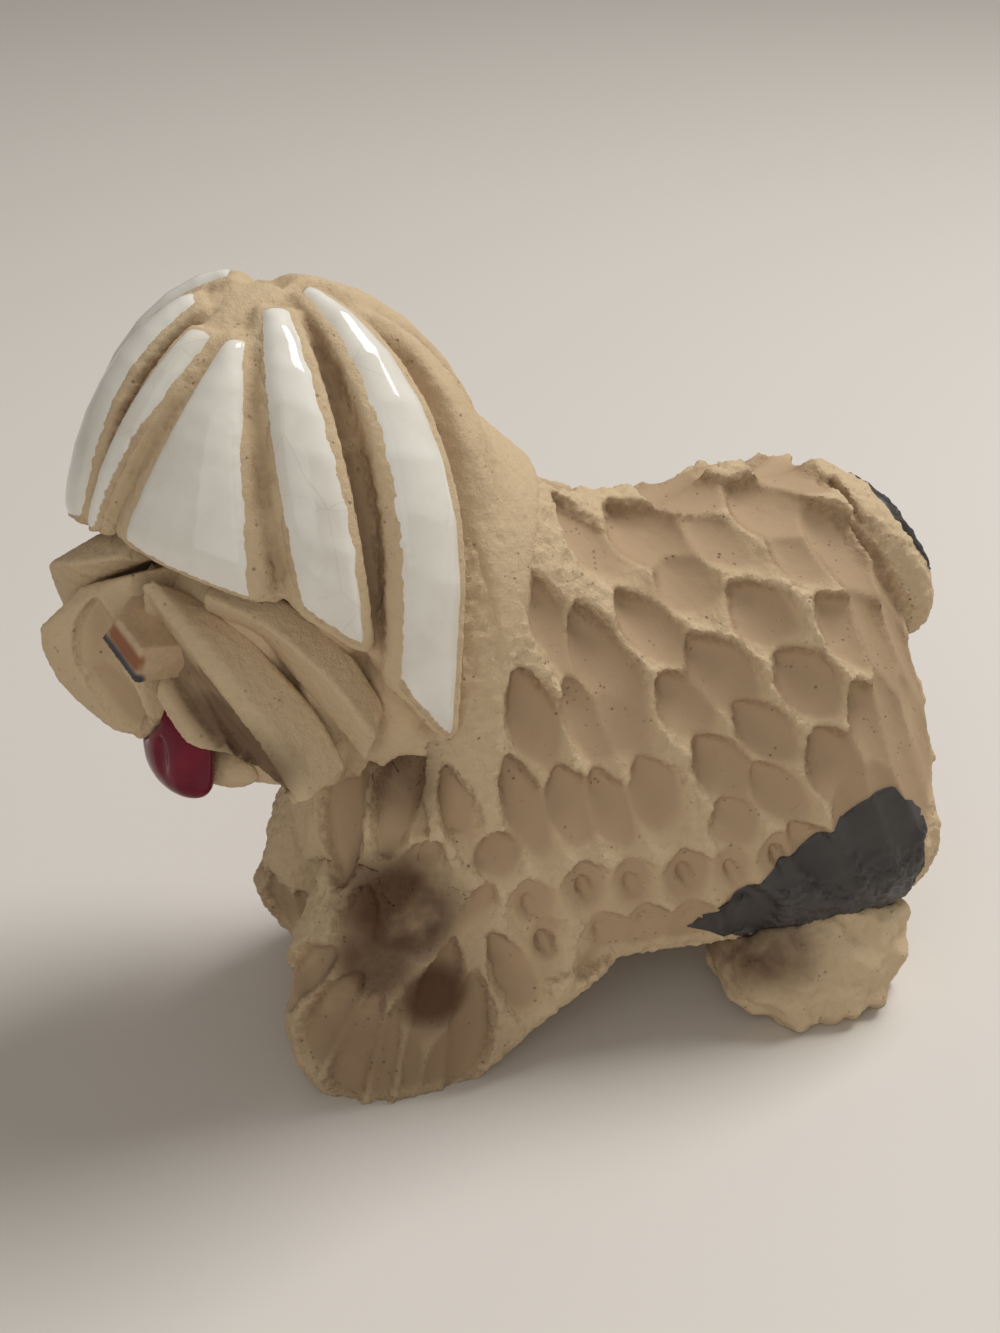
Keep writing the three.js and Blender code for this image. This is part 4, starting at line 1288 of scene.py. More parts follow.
@dataclass
class Trunk:
    """Coat, bib, tail and front paws, carved as one lump of clay and parted again at their joints."""

    carver: Carver
    clay: bpy.types.Material
    coat: Coat
    voxel: float = 0.55 * MM
    fuse: float = 0.35 * MM
    tear: float = 1.9 * MM
    overlap: float = 1.3 * MM
    stagger: float = 2.0 * MM
    skin: float = 0.5 * MM
    lump_voxel: float = 0.8 * MM
    cut_voxel: float = 0.6 * MM
    room_voxel: float = 0.9 * MM
    tear_fineness: float = 540.0
    tail_root: tuple[tuple[float, float, float], ...] = ((0, -2.4 * MM, -1.0 * MM), (0, -4.8 * MM, -2.0 * MM))
    pieces: dict[str, bpy.types.Object] = field(default_factory=dict)
    body: bpy.types.Object = field(init=False)
    centre: float = field(init=False)

    def build(self) -> None:
        """Make the pieces of the trunk."""
        self.body = filled("coat", "coat_uncut")
        swell(self.body, self.skin)
        self.coat.lay_out(self.body)
        low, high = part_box("coat")
        self.centre = (low[0] + high[0]) / 2
        paws = [f"front_paw_{side.word}" for side in Side]
        hung = ("chest_locks", "tail_stub")
        uncut = joined("clay_uncut", [
            show("body", self.body.data.copy()), *(self._wrapped(paw) for paw in paws),
            *(blank(node, f"{node}_uncut", self.lump_voxel, self.fuse) for node in hung),
            *self._lobes(),
        ])
        remesh(uncut, self.lump_voxel)
        soften(uncut, 3)
        surface = Surface(uncut)
        gouges = self.coat.gouges + self.coat.scales(surface) + self.coat.rump(Surface(self.body))
        gouges += self._chest(surface)
        for side in Side:
            gouges += self._paw(surface, side)
        clay = joined("clay", [
            show("body", self.body.data.copy()), *self._lobes(),
            *(blank(node, f"{node}_cut", self.lump_voxel, self.fuse) for node in ("chest_locks", *paws)),
        ])
        remesh(clay, self.cut_voxel)
        soften(clay, 2)
        self.carver.scoop(clay, gouges, self.clay)
        tail = blank("tail_stub", "tail_cut", self.cut_voxel, self.fuse)
        roots = [show("tail_root", tail.data.copy()) for _ in self.tail_root]
        for root, shift in zip(roots, self.tail_root):
            move(root.data, positions(root.data) + np.array(shift))
        self.carver.scoop(tail, self._tail(Surface(tail)), self.clay)
        clay = joined("clay", [clay, tail, *roots])
        remesh(clay, self.voxel)
        self.carver.clean(clay, self.clay)
        soften(clay, 1, 0.4)
        self.carver.weather(clay, uncut, self.clay, self.tear, self.tear_fineness)
        discard(uncut)
        self._part(clay, ["chest_locks", *paws, "tail_stub"])

    @staticmethod
    def _wrapped(node: str) -> bpy.types.Object:
        """The lump that a paw was carved from.

        Args:
            node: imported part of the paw.

        Returns:
            The lump.
        """
        source = twin(node, f"{node}_source")
        lump = hull(source)
        discard(source)
        return lump

    def _across(self, side: Side, spots: Iterable[tuple[float, float, float]]) -> list[Vector]:
        """Places from millimetres on the left side, or mirrored to the right.

        Args:
            side: side of the dog.
            spots: places on the left side.

        Returns:
            The places in metres.
        """
        back = self.stagger if side is Side.RIGHT else 0.0
        return [
            Vector((x * MM if side is Side.LEFT else 2 * self.centre - x * MM, y * MM + back, z * MM))
            for x, y, z in spots
        ]

    def _lobes(self) -> list[bpy.types.Object]:
        """Raised lobes of the bib: one with a round foot and a tent beside it, on either side.

        Returns:
            The lobes.
        """
        shapes = (
            ((7.6, -34.0, 43.5), (6.6, -34.0, 36.5), (10.5, -34.4, 33.4), (15, -34, 33), (19.3, -32.6, 34.0),
             (22.2, -29.7, 36.6), (23.4, -26.4, 39.4), (25, -24, 43.4), (25, -22.4, 49), (21.4, -27.6, 53),
             (16, -30.6, 53), (9.5, -33.2, 50)),
            ((25.2, -18.6, 58.5), (24.4, -24.9, 45), (26.8, -15.4, 45), (27.6, -20.4, 45.6)),
        )
        found = []
        for side in Side:
            for rim in shapes:
                inner = [(x - 0.16 * (x - 1.2), y + 0.3 * (-18 - y), z) for x, y, z in rim]
                seed = show("lobe_rim", bpy.data.meshes.new("lobe_rim"))
                seed.data.from_pydata(self._across(side, (*rim, *inner)), [], [])
                found.append(hull(seed))
                discard(seed)
        return found

    def _cuts(self, surface: Surface, side: Side, rows: Iterable[tuple], fade: float) -> list[Gouge]:
        """Scoops from rows of their start, their end, their width and their depth in millimetres.

        Args:
            surface: the uncut clay.
            side: side of the dog.
            rows: the rows.
            fade: share of the depth that is left at the end.

        Returns:
            The scoops.
        """
        found = []
        for start, end, width, depth in rows:
            ends = (surface.near(place) for place in self._across(side, (start, end)))
            found.append(Gouge.between(*ends, width * MM, depth * MM, fade * depth * MM))
        return found

    def _chest(self, surface: Surface) -> list[Gouge]:
        """Hollows in the lobes of the bib and the deep one between them.

        Args:
            surface: the uncut clay.

        Returns:
            The scoops.
        """
        rows = (
            ((18.4, -32.6, 36.2), (17.8, -30, 55), 12.4, 3.0),
            ((23.6, -23.4, 61.5), (23.6, -25.4, 43.5), 7.6, 3.4),
            ((25.2, -17.6, 55), (25.6, -14.2, 41), 6.2, 2.2),
            ((24.6, -21.8, 52), (24.4, -21.4, 43), 3.0, 1.2),
        )
        return [gouge for side in Side for gouge in self._cuts(surface, side, rows, 0.5)]

    def _paw(self, surface: Surface, side: Side) -> list[Gouge]:
        """Broad scoops under the edge of the bib, and an uneven fan from there to the toes.

        Args:
            surface: the uncut clay.
            side: side of the dog.

        Returns:
            The scoops.
        """
        return self._cuts(surface, side, (
            ((25.6, -20.4, 42), (25.6, -28, 24), 15, 2.6), ((22, -29, 35), (24, -33, 21), 10, 2.4),
            ((25.6, -12, 35), (26.6, -17.5, 22), 9, 2.2), ((21.5, -34, 26), (15, -39, 15), 7.2, 2.0),
            ((24, -31.6, 22), (20.8, -38.4, 7), 8.6, 2.5), ((25.6, -29, 19), (24, -35, -2), 7.4, 2.0),
            ((26.2, -26, 17), (26.4, -29.5, -3), 4.8, 1.7), ((27, -23, 15), (27.3, -25, -3), 4.2, 1.4),
            ((26.6, -17.6, 25.5), (26.4, -23.2, 8), 9.2, 3.2),
            ((27.4, -18.8, 11), (27.5, -21.4, -3), 6.4, 1.6),
            ((27.3, -14.6, 20), (27.5, -16.4, -2), 7.8, 2.0), ((27, -11, 26), (26.2, -4.6, 11), 8, 2.3),
            ((12, -41, 19), (11.5, -41, 2), 6.8, 1.8), ((5.5, -36, 17), (5.5, -36, 2), 6.8, 1.8),
        ), 0.25)

    @staticmethod
    def _tail(surface: Surface) -> list[Gouge]:
        """Long scoops down the tail.

        Args:
            surface: the uncut tail.

        Returns:
            The scoops.
        """
        low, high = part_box("tail_stub")
        found = []
        for across in (-0.32, 0.0, 0.26):
            x = (low[0] + high[0]) / 2 + across * (high[0] - low[0])
            for top_share, foot_share in ((0.86, 0.5), (0.55, 0.12)):
                ends = (
                    surface.near(Vector((x, high[1] + 2 * MM, low[2] + share * (high[2] - low[2]) + rise)))
                    for share, rise in ((top_share, 3 * MM), (foot_share, 0))
                )
                found.append(Gouge.between(*ends, 5.6 * MM, 1.1 * MM, 0.6 * MM))
        return found

    def _part(self, clay: bpy.types.Object, joints: Sequence[str]) -> None:
        """Part the carved clay at the joints and keep each piece.

        Args:
            clay: the carved lump.
            joints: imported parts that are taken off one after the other.
        """
        whole = show("clay_whole", clay.data.copy())
        for node in joints:
            room = self._wrapped(node) if node.startswith("front_paw") else twin(node, f"{node}_room")
            remesh(room, self.room_voxel)
            swell(room, self.overlap)
            remesh(room, self.room_voxel)
            piece = show(f"{node}_carved", clay.data.copy())
            self.carver.join(piece, room, Cut.INTERSECT, self.clay)
            self.carver.join(clay, room, Cut.DIFFERENCE, self.clay)
            discard(room)
            self.pieces[node] = piece
        clay.name = "coat_carved"
        self.pieces["coat"] = clay
        skin = Surface(whole)
        for node, piece in self.pieces.items():
            self.carver.clean(piece, self.clay)
            self.carver.recall(piece, whole, self.clay)
            self._stain(piece)
            crease(piece, skin)
            keep(piece, Slot.CLAY, node)
        discard(whole)

    def _stain(self, piece: bpy.types.Object) -> None:
        """Paint brown into the front paws, partly a real stain and partly painted shade under the edge of the
        bib, and painted shade under the moustache.

        Args:
            piece: a parted piece.
        """
        places = positions(piece.data)
        wash = np.zeros(len(places))
        # Spots on the tops of the front paws mix a real brown stain with painted shade under the bib; the
        # last spot is painted shade under the moustache.
        for spot, near, far, share in (
            ((25, -25, 33), 5, 13, 1.0), ((25, -28.5, 25), 3, 10, 0.9), ((26.2, -20.4, 18), 3, 9, 1.0),
            ((26, -25, 14), 8, 24, 0.45), ((23.5, -24.4, 54), 2, 10, 0.8),
        ):
            for side in Side:
                away = np.linalg.norm(places - np.array(self._across(side, [spot])[0]), axis=1)
                wash = np.maximum(wash, share * (1 - ramp(away, near * MM, far * MM)))
        paint(piece, "stain", wash)


@dataclass(frozen=True)
class GlazeFinish:
    """A glassy glaze that thins to bare clay at the rim of the piece."""

    name: str
    colour: str
    pool: str
    rim: str
    roughness: float
    crack: str = "8b8478"
    crackle: float = 0.0
    waves: float = 0.2

    def material(self) -> bpy.types.Material:
        """Build the material.

        Returns:
            A node material that reads the rim attribute.
        """
        nodes = FinishTree(self.name)
        cloud = nodes.noise(nodes.place, 110.0, 4.0)
        fine = nodes.noise(nodes.place, 900.0, 3.0, 0.7)
        base = nodes.blend(nodes.smooth(cloud, 0.35, 0.7), linear(self.colour), linear(self.pool))
        cells = nodes.add(
            "ShaderNodeTexVoronoi", {"Vector": nodes.place, "Scale": 95.0}, feature="DISTANCE_TO_EDGE",
        )
        hair = nodes.smooth(cells.outputs["Distance"], 0.012, 0.002)
        hair = nodes.times(hair, nodes.times(nodes.smooth(cloud, 0.45, 0.6), self.crackle))
        base = nodes.blend(hair, base, linear(self.crack))
        bare = nodes.smooth(nodes.math("ADD", nodes.share("rim"), nodes.swing(fine, 0.35)), 0.42, 0.62)
        rim = nodes.blend(nodes.smooth(fine, 0.4, 0.7), linear(self.rim), linear(DUSTY_CLAY))
        rough = nodes.math("ADD", self.roughness, nodes.times(bare, 0.62))
        nodes.set(Base_Color=nodes.blend(bare, base, rim), Roughness=rough)
        grit = nodes.times(nodes.times(fine, bare), 0.5)
        nodes.bump(nodes.math("ADD", nodes.times(cloud, self.waves), grit), 0.35, 0.3 * MM)
        return nodes.stuff


@dataclass(frozen=True)
class TongueFinish:
    """Deep ruby glass with painted lighter patches that stand in for light shining through it."""

    name: str = "ruby_glass"
    deep: str = "660723"
    # Colour of the painted lighter patches that stand in for light shining through the glass.
    glow: str = "c40a30"

    def material(self) -> bpy.types.Material:
        """Build the material.

        Returns:
            A glossy node material.
        """
        nodes = FinishTree(self.name)
        cloud = nodes.noise(nodes.place, 220.0, 2.0)
        # Painted light: share of the lighter patches, with random tone.
        share = nodes.math("ADD", nodes.share("glow"), nodes.swing(cloud, 0.5), clamp=True)
        colour = nodes.blend(share, linear(self.deep), linear(self.glow))
        nodes.set(Base_Color=colour, Roughness=0.12, Specular_IOR_Level=0.28)
        nodes.bump(cloud, 0.15, 0.2 * MM)
        return nodes.stuff


@dataclass(frozen=True)
class NoseFinish:
    """Clay block with a rust stain on its face and a blue-black lower edge."""

    name: str = "stained_nose"
    clay: str = "bfa380"
    rust: str = "8a5430"
    ink: str = "34343f"

    def material(self) -> bpy.types.Material:
        """Build the material.

        Returns:
            A node material that reads the rust and ink attributes.
        """
        nodes = FinishTree(self.name)
        cloud = nodes.swing(nodes.noise(nodes.place, 320.0, 4.0), 0.5)
        grain = nodes.noise(nodes.place, 1100.0, 3.0)
        base = nodes.blend(nodes.smooth(grain, 0.4, 0.7), linear(self.clay), linear(DUSTY_CLAY))
        for name, colour in (("rust", self.rust), ("ink", self.ink)):
            edge = nodes.smooth(nodes.math("ADD", nodes.share(name), cloud), 0.15, 0.95)
            base = nodes.blend(edge, base, linear(colour))
        nodes.set(Base_Color=base, Roughness=0.6)
        nodes.bump(grain, 0.35, 0.2 * MM)
        return nodes.stuff


@dataclass(frozen=True)
class HeadFrame:
    """The head's own axes, turned to the dog's left about the crown."""

    crown: Vector = field(default_factory=CROWN.copy)
    turn: float = 29.0
    level: float = 79.5 * MM
    reach: float = 30.0 * MM
    dome: float = 38.0 * MM

    def place(self, left: float, ahead: float, up: float) -> Vector:
        """A place in the frame of the part from millimetres to the left, ahead and up.

        Args:
            left: distance to the left.
            ahead: distance ahead.
            up: height.

        Returns:
            The place in metres.
        """
        angle = math.radians(self.turn)
        aside = Vector((math.cos(angle), math.sin(angle), 0))
        forward = Vector((math.sin(angle), -math.cos(angle), 0))
        return self.crown + (aside * left + forward * ahead + Vector((0, 0, up))) * MM

    def bearing(self, places: np.ndarray) -> np.ndarray:
        """Degrees that places lie away from straight ahead, above zero to the left.

        Args:
            places: rows of places.

        Returns:
            One angle for each row.
        """
        angle = math.radians(self.turn)
        away = places[:, :2] - np.array(self.crown.xy)
        left = away @ np.array([math.cos(angle), math.sin(angle)])
        ahead = away @ np.array([math.sin(angle), -math.cos(angle)])
        return np.degrees(np.arctan2(left, ahead))

    def outward(self, places: np.ndarray) -> np.ndarray:
        """Directions that look straight out of the dome at the given places.

        Args:
            places: rows of places.

        Returns:
            One row of unit length for each place.
        """
        middle = np.array([self.crown.x, self.crown.y, self.level])
        away = (places - middle) / np.array([self.reach, self.reach, self.dome])
        away[:, 2] = np.maximum(away[:, 2], 0)
        return away / np.linalg.norm(away, axis=1, keepdims=True)


@dataclass
class Head:
    """Dome with its combed grooves, the white locks and the bare muzzle."""

    carver: Carver
    clay: bpy.types.Material
    glaze: bpy.types.Material
    ruby: bpy.types.Material
    stain: bpy.types.Material
    trunk: bpy.types.Object
    axes: HeadFrame = field(default_factory=HeadFrame)
    dome_voxel: float = 0.6 * MM
    fine_voxel: float = 0.5 * MM
    lock_voxel: float = 0.4 * MM
    seam: float = 0.25 * MM
    collar_lift: float = 0.45 * MM
    collar_rings: tuple[tuple[float, float], ...] = ((57, 28.5), (63, 31.5), (72, 35), (104, 35))
    comb_rise: tuple[float, float] = (78 * MM, 84 * MM)
    swale_rise: tuple[float, float] = (58 * MM, 66 * MM)
    bare_left: tuple[float, float] = (83.0, 88.0)
    bare_right: tuple[float, float] = (71.0, 76.0)
    wall_lean: float = 0.4
    rim_fade: tuple[float, float] = (0.1 * MM, 1.5 * MM)
    shoulder: float = 1.1 * MM
    shoulder_reach: float = 1.5 * MM
    dig: float = 0.7
    swale: float = 2.0 * MM
    crown_drop: float = 1.0 * MM
    crown_reach: float = 4.0 * MM
    shoulders: ShapeTree = field(init=False)

    def build(self) -> None:
        """Make all pieces of the head."""
        self.shoulders = self._shoulder_tree()
        names = [f"white_lock_{place}_{side.word}" for place in ("front", "middle", "rear") for side in Side]
        self._dome(names)
        for name in names:
            self._lock(name)
        self._muzzle()
        self._nose()
        self._tongue()

    def _dome(self, locks: Sequence[str]) -> None:
        """Make the combed clay of the head, with a shoulder beside each lock and a smooth collar behind.

        Args:
            locks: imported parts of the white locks.
        """
        lump = blank("head", "head_combed", self.dome_voxel, self.seam, 2)
        wrap = hull(lump)
        collar = show("collar", self.trunk.data.copy())
        swell(collar, self.collar_lift)
        room = self._collar_room()
        self.carver.join(collar, room, Cut.INTERSECT, self.clay)
        self.carver.join(lump, collar, Cut.UNION, self.clay)
        remesh(lump, self.dome_voxel)
        soften(lump, 4)
        places = positions(lump.data)
        height, bearing = places[:, 2], self.axes.bearing(places)
        behind = np.maximum(ramp(bearing, *self.bare_left), ramp(-bearing, *self.bare_right))
        paint(lump, "comb", ramp(height, *self.comb_rise) * (1 - behind))
        paint(lump, "swale", behind * ramp(height, *self.swale_rise))
        ridges = joined("ridges", [twin(lock, f"{lock}_ridge") for lock in locks])
        self.shoulders.run(
            lump, Locks=ridges, Wrap=wrap, Rise=self.shoulder, Reach=self.shoulder_reach, Dig=self.dig,
            Swale=self.swale, Material=self.clay,
        )
        remesh(lump, self.fine_voxel)
        soften(lump, 3)
        smooth = show("head_smooth", lump.data.copy())
        remesh(smooth, 1.5 * MM)
        soften(smooth, 14)
        swell(smooth, 0.6 * MM)
        self.carver.weather(lump, smooth, self.clay, 0.6 * MM, 700.0, 1.8)
        discard(collar, room, smooth, wrap, ridges)
        keep(lump, Slot.CLAY, "head")

    def _collar_room(self) -> bpy.types.Object:
        """Space behind the rear locks that the smooth collar may fill.

        Returns:
            A closed body.
        """
        turns = [math.radians(80 + 8.7 * i) for i in range(24)]
        return tube("collar_room", [
            [self.axes.place(reach * math.sin(turn), reach * math.cos(turn), height) for turn in turns]
            for height, reach in self.collar_rings
        ])

    @staticmethod
    def _shoulder_tree() -> ShapeTree:
        """Tree that raises the clay beside the locks, so that the glaze lies in a ridge.

        Returns:
            The tree.
        """
        tree = ShapeTree("shoulders")
        gap = tree.add("GeometryNodeProximity", {"Geometry": tree.shape_of("Locks")}, target_element="FACES")
        wrap = tree.add("GeometryNodeProximity", {"Geometry": tree.shape_of("Wrap")}, target_element="FACES")
        share = tree.math("DIVIDE", gap.outputs["Distance"], tree.take("Reach", "Float"))
        rise = tree.times(tree.smooth(share, 1.0, 0.15), tree.take("Rise", "Float"))
        depth = tree.math("MINIMUM", wrap.outputs["Distance"], 4 * MM)
        away = gap.outputs["Distance"]
        clear = tree.times(tree.smooth(away, 0.8 * MM, 2.0 * MM), tree.attribute("comb"))
        dig = tree.times(tree.times(depth, clear), tree.take("Dig", "Float"))
        trough = tree.times(tree.smooth(away, 0.9 * MM, 3.2 * MM), tree.smooth(away, 8.0 * MM, 4.6 * MM))
        swale = tree.times(tree.attribute("swale"), tree.take("Swale", "Float"))
        dig = tree.math("ADD", dig, tree.times(trough, swale))
        push = tree.vector("SCALE", tree.add("GeometryNodeInputNormal").outputs[0])
        tree.feed(push.inputs["Scale"], tree.math("SUBTRACT", rise, dig))
        shape = tree.add("GeometryNodeSetPosition", {"Offset": push.outputs[0]})
        tree.feed(shape.inputs["Geometry"], tree.start.outputs["Geometry"])
        tree.close(shape.outputs[0])
        return tree

    def _lock(self, node: str) -> None:
        """Make one white lock with bare clay at its walls.

        Args:
            node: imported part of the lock.
        """
        lock = blank(node, f"{node}_glazed", self.lock_voxel, self.seam, 4)
        places = positions(lock.data)
        outward = self.axes.outward(places)
        lean = np.sum(directions(lock.data) * outward, axis=1)
        walls = places[lean < self.wall_lean]
        near = KDTree(len(walls))
        for i, place in enumerate(walls):
            near.insert(place, i)
        near.balance()
        edge = np.array([near.find(place)[2] for place in places])
        drop = self.crown_drop * np.clip(1 - edge / self.crown_reach, 0, 1) ** 2 * (lean >= self.wall_lean)
        move(lock.data, places - outward * drop[:, None])
        soften(lock, 10)
        paint(lock, "rim", 1 - ramp(edge, *self.rim_fade))
        lock.data.materials.append(self.glaze)
        keep(lock, Slot.WHITE, node)

    def _spots(self, *spots: tuple[float, float, float]) -> list[Vector]:
        """Places from millimetres ahead, to the left and up."""
        return [self.axes.place(left, ahead, up) for ahead, left, up in spots]

    def _streaks(self, surface: Surface) -> list[Gouge]:
        """Rough streaks down the hollow front of the left moustache.

        Args:
            surface: the uncut petal.

        Returns:
            The scoops.
        """
        found = []
        for top, foot, width in (
            ((25, 6, 72), (22, 14.5, 63), 3.0), ((25, 9, 74), (22, 16, 64.5), 2.2),
            ((24, 4, 70), (23, 11, 63.5), 2.6), ((22, 13, 68), (19.5, 19, 58), 2.4),
            ((22, 11, 66), (20, 17.5, 57.5), 2.0),
        ):
            (start, level), (end, _) = (surface.near(place) for place in self._spots(top, foot))
            found.append(Gouge(start, end, level, width * MM, 0.8 * MM, 0.5 * MM))
        return found

    def _recess(self, surface: Surface) -> list[Gouge]:
        """Round hollow beside the nose in the right moustache.

        Args:
            surface: the uncut petal.

        Returns:
            The scoops.
        """
        found = []
        for top, foot, width in (((29, -5.5, 79), (29, -6.5, 66), 7.5), ((29, -6.5, 71), (25, -5, 59), 8.5)):
            ends = (surface.near(place) for place in self._spots(top, foot))
            found.append(Gouge.between(*ends, width * MM, 1.3 * MM, 1.1 * MM))
        return found

    def _moustache(self) -> bpy.types.Object:
        """The left petal, a ridge with a hollow front that falls from the nose to the jaw.

        Returns:
            A closed body.
        """
        crest = ((26.6, 1, 84.7), (25.7, 9, 77.8), (24.1, 14, 71.1), (21.6, 18.7, 62.9), (19.6, 22, 55.7))
        blunt = (
            (25.4, 2.6, 84.9), (24.1, 10.6, 78.4), (22.3, 15.8, 71.9), (19.6, 20.3, 63.8), (18, 22.9, 56.2),
        )
        lip = ((25.8, 1, 66.8), (25.6, 7, 61.9), (23.4, 13, 61.4), (20.9, 17, 58.4), (19.2, 21.2, 54.4))
        front = (
            (23.6, 1, 75.7), (22.8, 7.2, 69.5), (21.2, 12.4, 66.2), (19.2, 16.8, 61), (18.2, 20.5, 55.4),
        )
        valley = ((21.5, 4, 82), (18.6, 11.4, 78), (16.4, 16.2, 72.6), (13.4, 20, 66), (11, 22.6, 58))
        root = ((14, 1, 76), (12, 5, 72), (10, 8.5, 68), (8, 12, 62), (8, 15, 56.5))
        under = ((22, 1, 65), (21.5, 6, 60), (18, 11, 59.5), (15.5, 15, 57), (15, 18.5, 54.2))
        rings = [self._spots(*ring) for ring in zip(crest, blunt, valley, root, under, lip, front)]
        return tube("moustache_left_uncut", curved(rings))

    def _cheek(self) -> bpy.types.Object:
        """The fold behind the left petal, with a sharp ridge below the locks.

        Returns:
            A closed body.
        """
        ridge = ((23.1, 10, 84), (19.7, 17, 81), (17, 21.5, 77.1), (13.7, 24.7, 71.5), (9.2, 26.3, 63))
        valley = ((21.5, 7.5, 80.5), (17, 13, 76.5), (14.5, 17, 71), (11.5, 20.5, 64.5), (8, 23, 57.5))
        above = ((20, 9, 85.5), (16.5, 15, 84), (13, 19.5, 80), (9.5, 23, 74.5), (5.5, 24.6, 66))
        root = ((12, 4, 78), (10, 8, 75), (8, 11, 71), (5, 14, 66), (2, 17, 60))
        rings = [self._spots(*ring) for ring in zip(ridge, above, root, valley)]
        return tube("cheek_left_uncut", curved(rings))

    def _petal(self) -> bpy.types.Object:
        """The right petal, a broad leaf with a round edge.

        Returns:
            A closed body.
        """
        rim = self._spots(
            (25.5, -4, 82.7), (28.7, -9, 80.8), (32, -12, 75.8), (32.8, -14, 74.4), (32, -15.3, 71),
            (31.5, -15.5, 68.8), (30.1, -15.5, 64.9), (28, -14, 61.5), (27.5, -12, 59.8), (26.1, -9, 57.4),
            (24.7, -5, 56.9), (26, -1, 62), (26.6, -1, 74), (26.6, -0.5, 84.7),
        )
        back = self._spots((-8, 2.5, 0))[0] - self._spots((0, 0, 0))[0]
        leaf = show("moustache_right_uncut", bpy.data.meshes.new("leaf"))
        leaf.data.from_pydata(rim + [place + back for place in rim], [], [])
        wrap = hull(leaf)
        discard(leaf)
        return wrap

    def _muzzle(self) -> None:
        """Carve the moustache, the cheeks and the chin."""
        fine = {"blank": 0.4 * MM, "voxel": 0.35 * MM, "rounds": 1, "hull": True, "tear": 0.45 * MM}
        shaped = (
            ("moustache_left", self._streaks, self._moustache),
            ("moustache_right", self._recess, self._petal),
            ("cheek_left", None, self._cheek), ("cheek_right", None, None), ("chin", None, None),
        )
        for node, cuts, model in shaped:
            lump = model() if model else None
            if lump:
                remesh(lump, 0.4 * MM)
                soften(lump, 3)
            piece = self.carver.carve(Plan(node, cuts, hollow_tear=0.6, lump=lump, **fine), self.clay)
            if node == "moustache_left":
                self._shade(piece)
            keep(piece, Slot.CLAY, node)

    def _shade(self, petal: bpy.types.Object) -> None:
        """Paint the hollow front of the left petal brown, partly a real brown stain and partly painted shade
        on the face that looks down.

        Args:
            petal: the carved petal.
        """
        places = positions(petal.data)
        fall = [np.array(place) for place in self._spots((23, 6, 72), (20, 17, 60))]
        run = fall[1] - fall[0]
        share = np.clip((places - fall[0]) @ run / (run @ run), 0, 1)
        away = np.linalg.norm(places - fall[0] - share[:, None] * run, axis=1)
        # Painted shade, mixed with real brown, along the fall of the hollow front.
        paint(petal, "stain", 0.75 * (1 - ramp(away, 2.5 * MM, 6.5 * MM)))

    def _nose(self) -> None:
        """Make the nose block with its stained face."""
        front = self._spots((30, 0.7, 80.1), (30, 5.1, 77.2), (30, 3.1, 71.2), (30, -3.4, 75.6))
        rear = self._spots((21, -3, 84), (21, 7.2, 75), (21, 4, 69), (21, -5, 76))
        nose = tube("nose_block", [front, rear])
        remesh(nose, 0.3 * MM)
        soften(nose, 2)
        places = positions(nose.data)
        face = (front[1] - front[0]).cross(front[2] - front[0]).normalized()
        ahead = np.abs((places - np.array(front[0])) @ np.array(face))
        edge = (front[2] - front[3]).normalized()
        away = np.linalg.norm(np.cross(places - np.array(front[3]), np.array(edge)), axis=1)
        along = np.abs((places - np.array((front[2] + front[3]) / 2)) @ np.array(edge))
        inside = (1 - ramp(ahead, 0.5 * MM, 1.6 * MM)) * (1 - ramp(along, 2.4 * MM, 4.6 * MM))
        paint(nose, "rust", inside * ramp(away, 0.8 * MM, 2.6 * MM) * (1 - ramp(away, 3.6 * MM, 5.8 * MM)))
        paint(nose, "ink", (1 - ramp(ahead, 0.7 * MM, 2.6 * MM)) * (1 - ramp(away, 0.6 * MM, 2.9 * MM)))
        nose.data.materials.append(self.stain)
        keep(nose, Slot.NOSE, "nose")

    def _tongue(self) -> None:
        """Make the tongue with a groove down its middle."""
        tongue = blank("tongue", "tongue_glass", 0.4 * MM, 0.15 * MM, 10)
        surface = Surface(tongue)
        top, level = surface.near(self.axes.place(0, 30, 60))
        foot, _ = surface.near(self.axes.place(0, 30, 53.5))
        self.carver.scoop(tongue, [Gouge(top, foot, level, 3.0 * MM, 0.7 * MM, 0.3 * MM)], self.ruby)
        remesh(tongue, 0.3 * MM)
        soften(tongue, 6)
        tongue.data.materials.clear()
        tongue.data.materials.append(self.ruby)
        places = positions(tongue.data)
        # Painted light: two lighter patches where light would shine through the thin glass.
        painted_glow_share = np.zeros(len(places))
        for spot, tall in ((self.axes.place(1.2, 30, 57.5), 0.45), (self.axes.place(-0.6, 30, 51), 1.2)):
            away = (places - np.array(spot)) * (1.0, 1.0, tall)
            painted_glow_share = np.maximum(painted_glow_share, 1 - ramp(np.linalg.norm(away, axis=1), 1.2 * MM, 4.6 * MM))
        paint(tongue, "glow", painted_glow_share)
        keep(tongue, Slot.RUBY, "tongue")


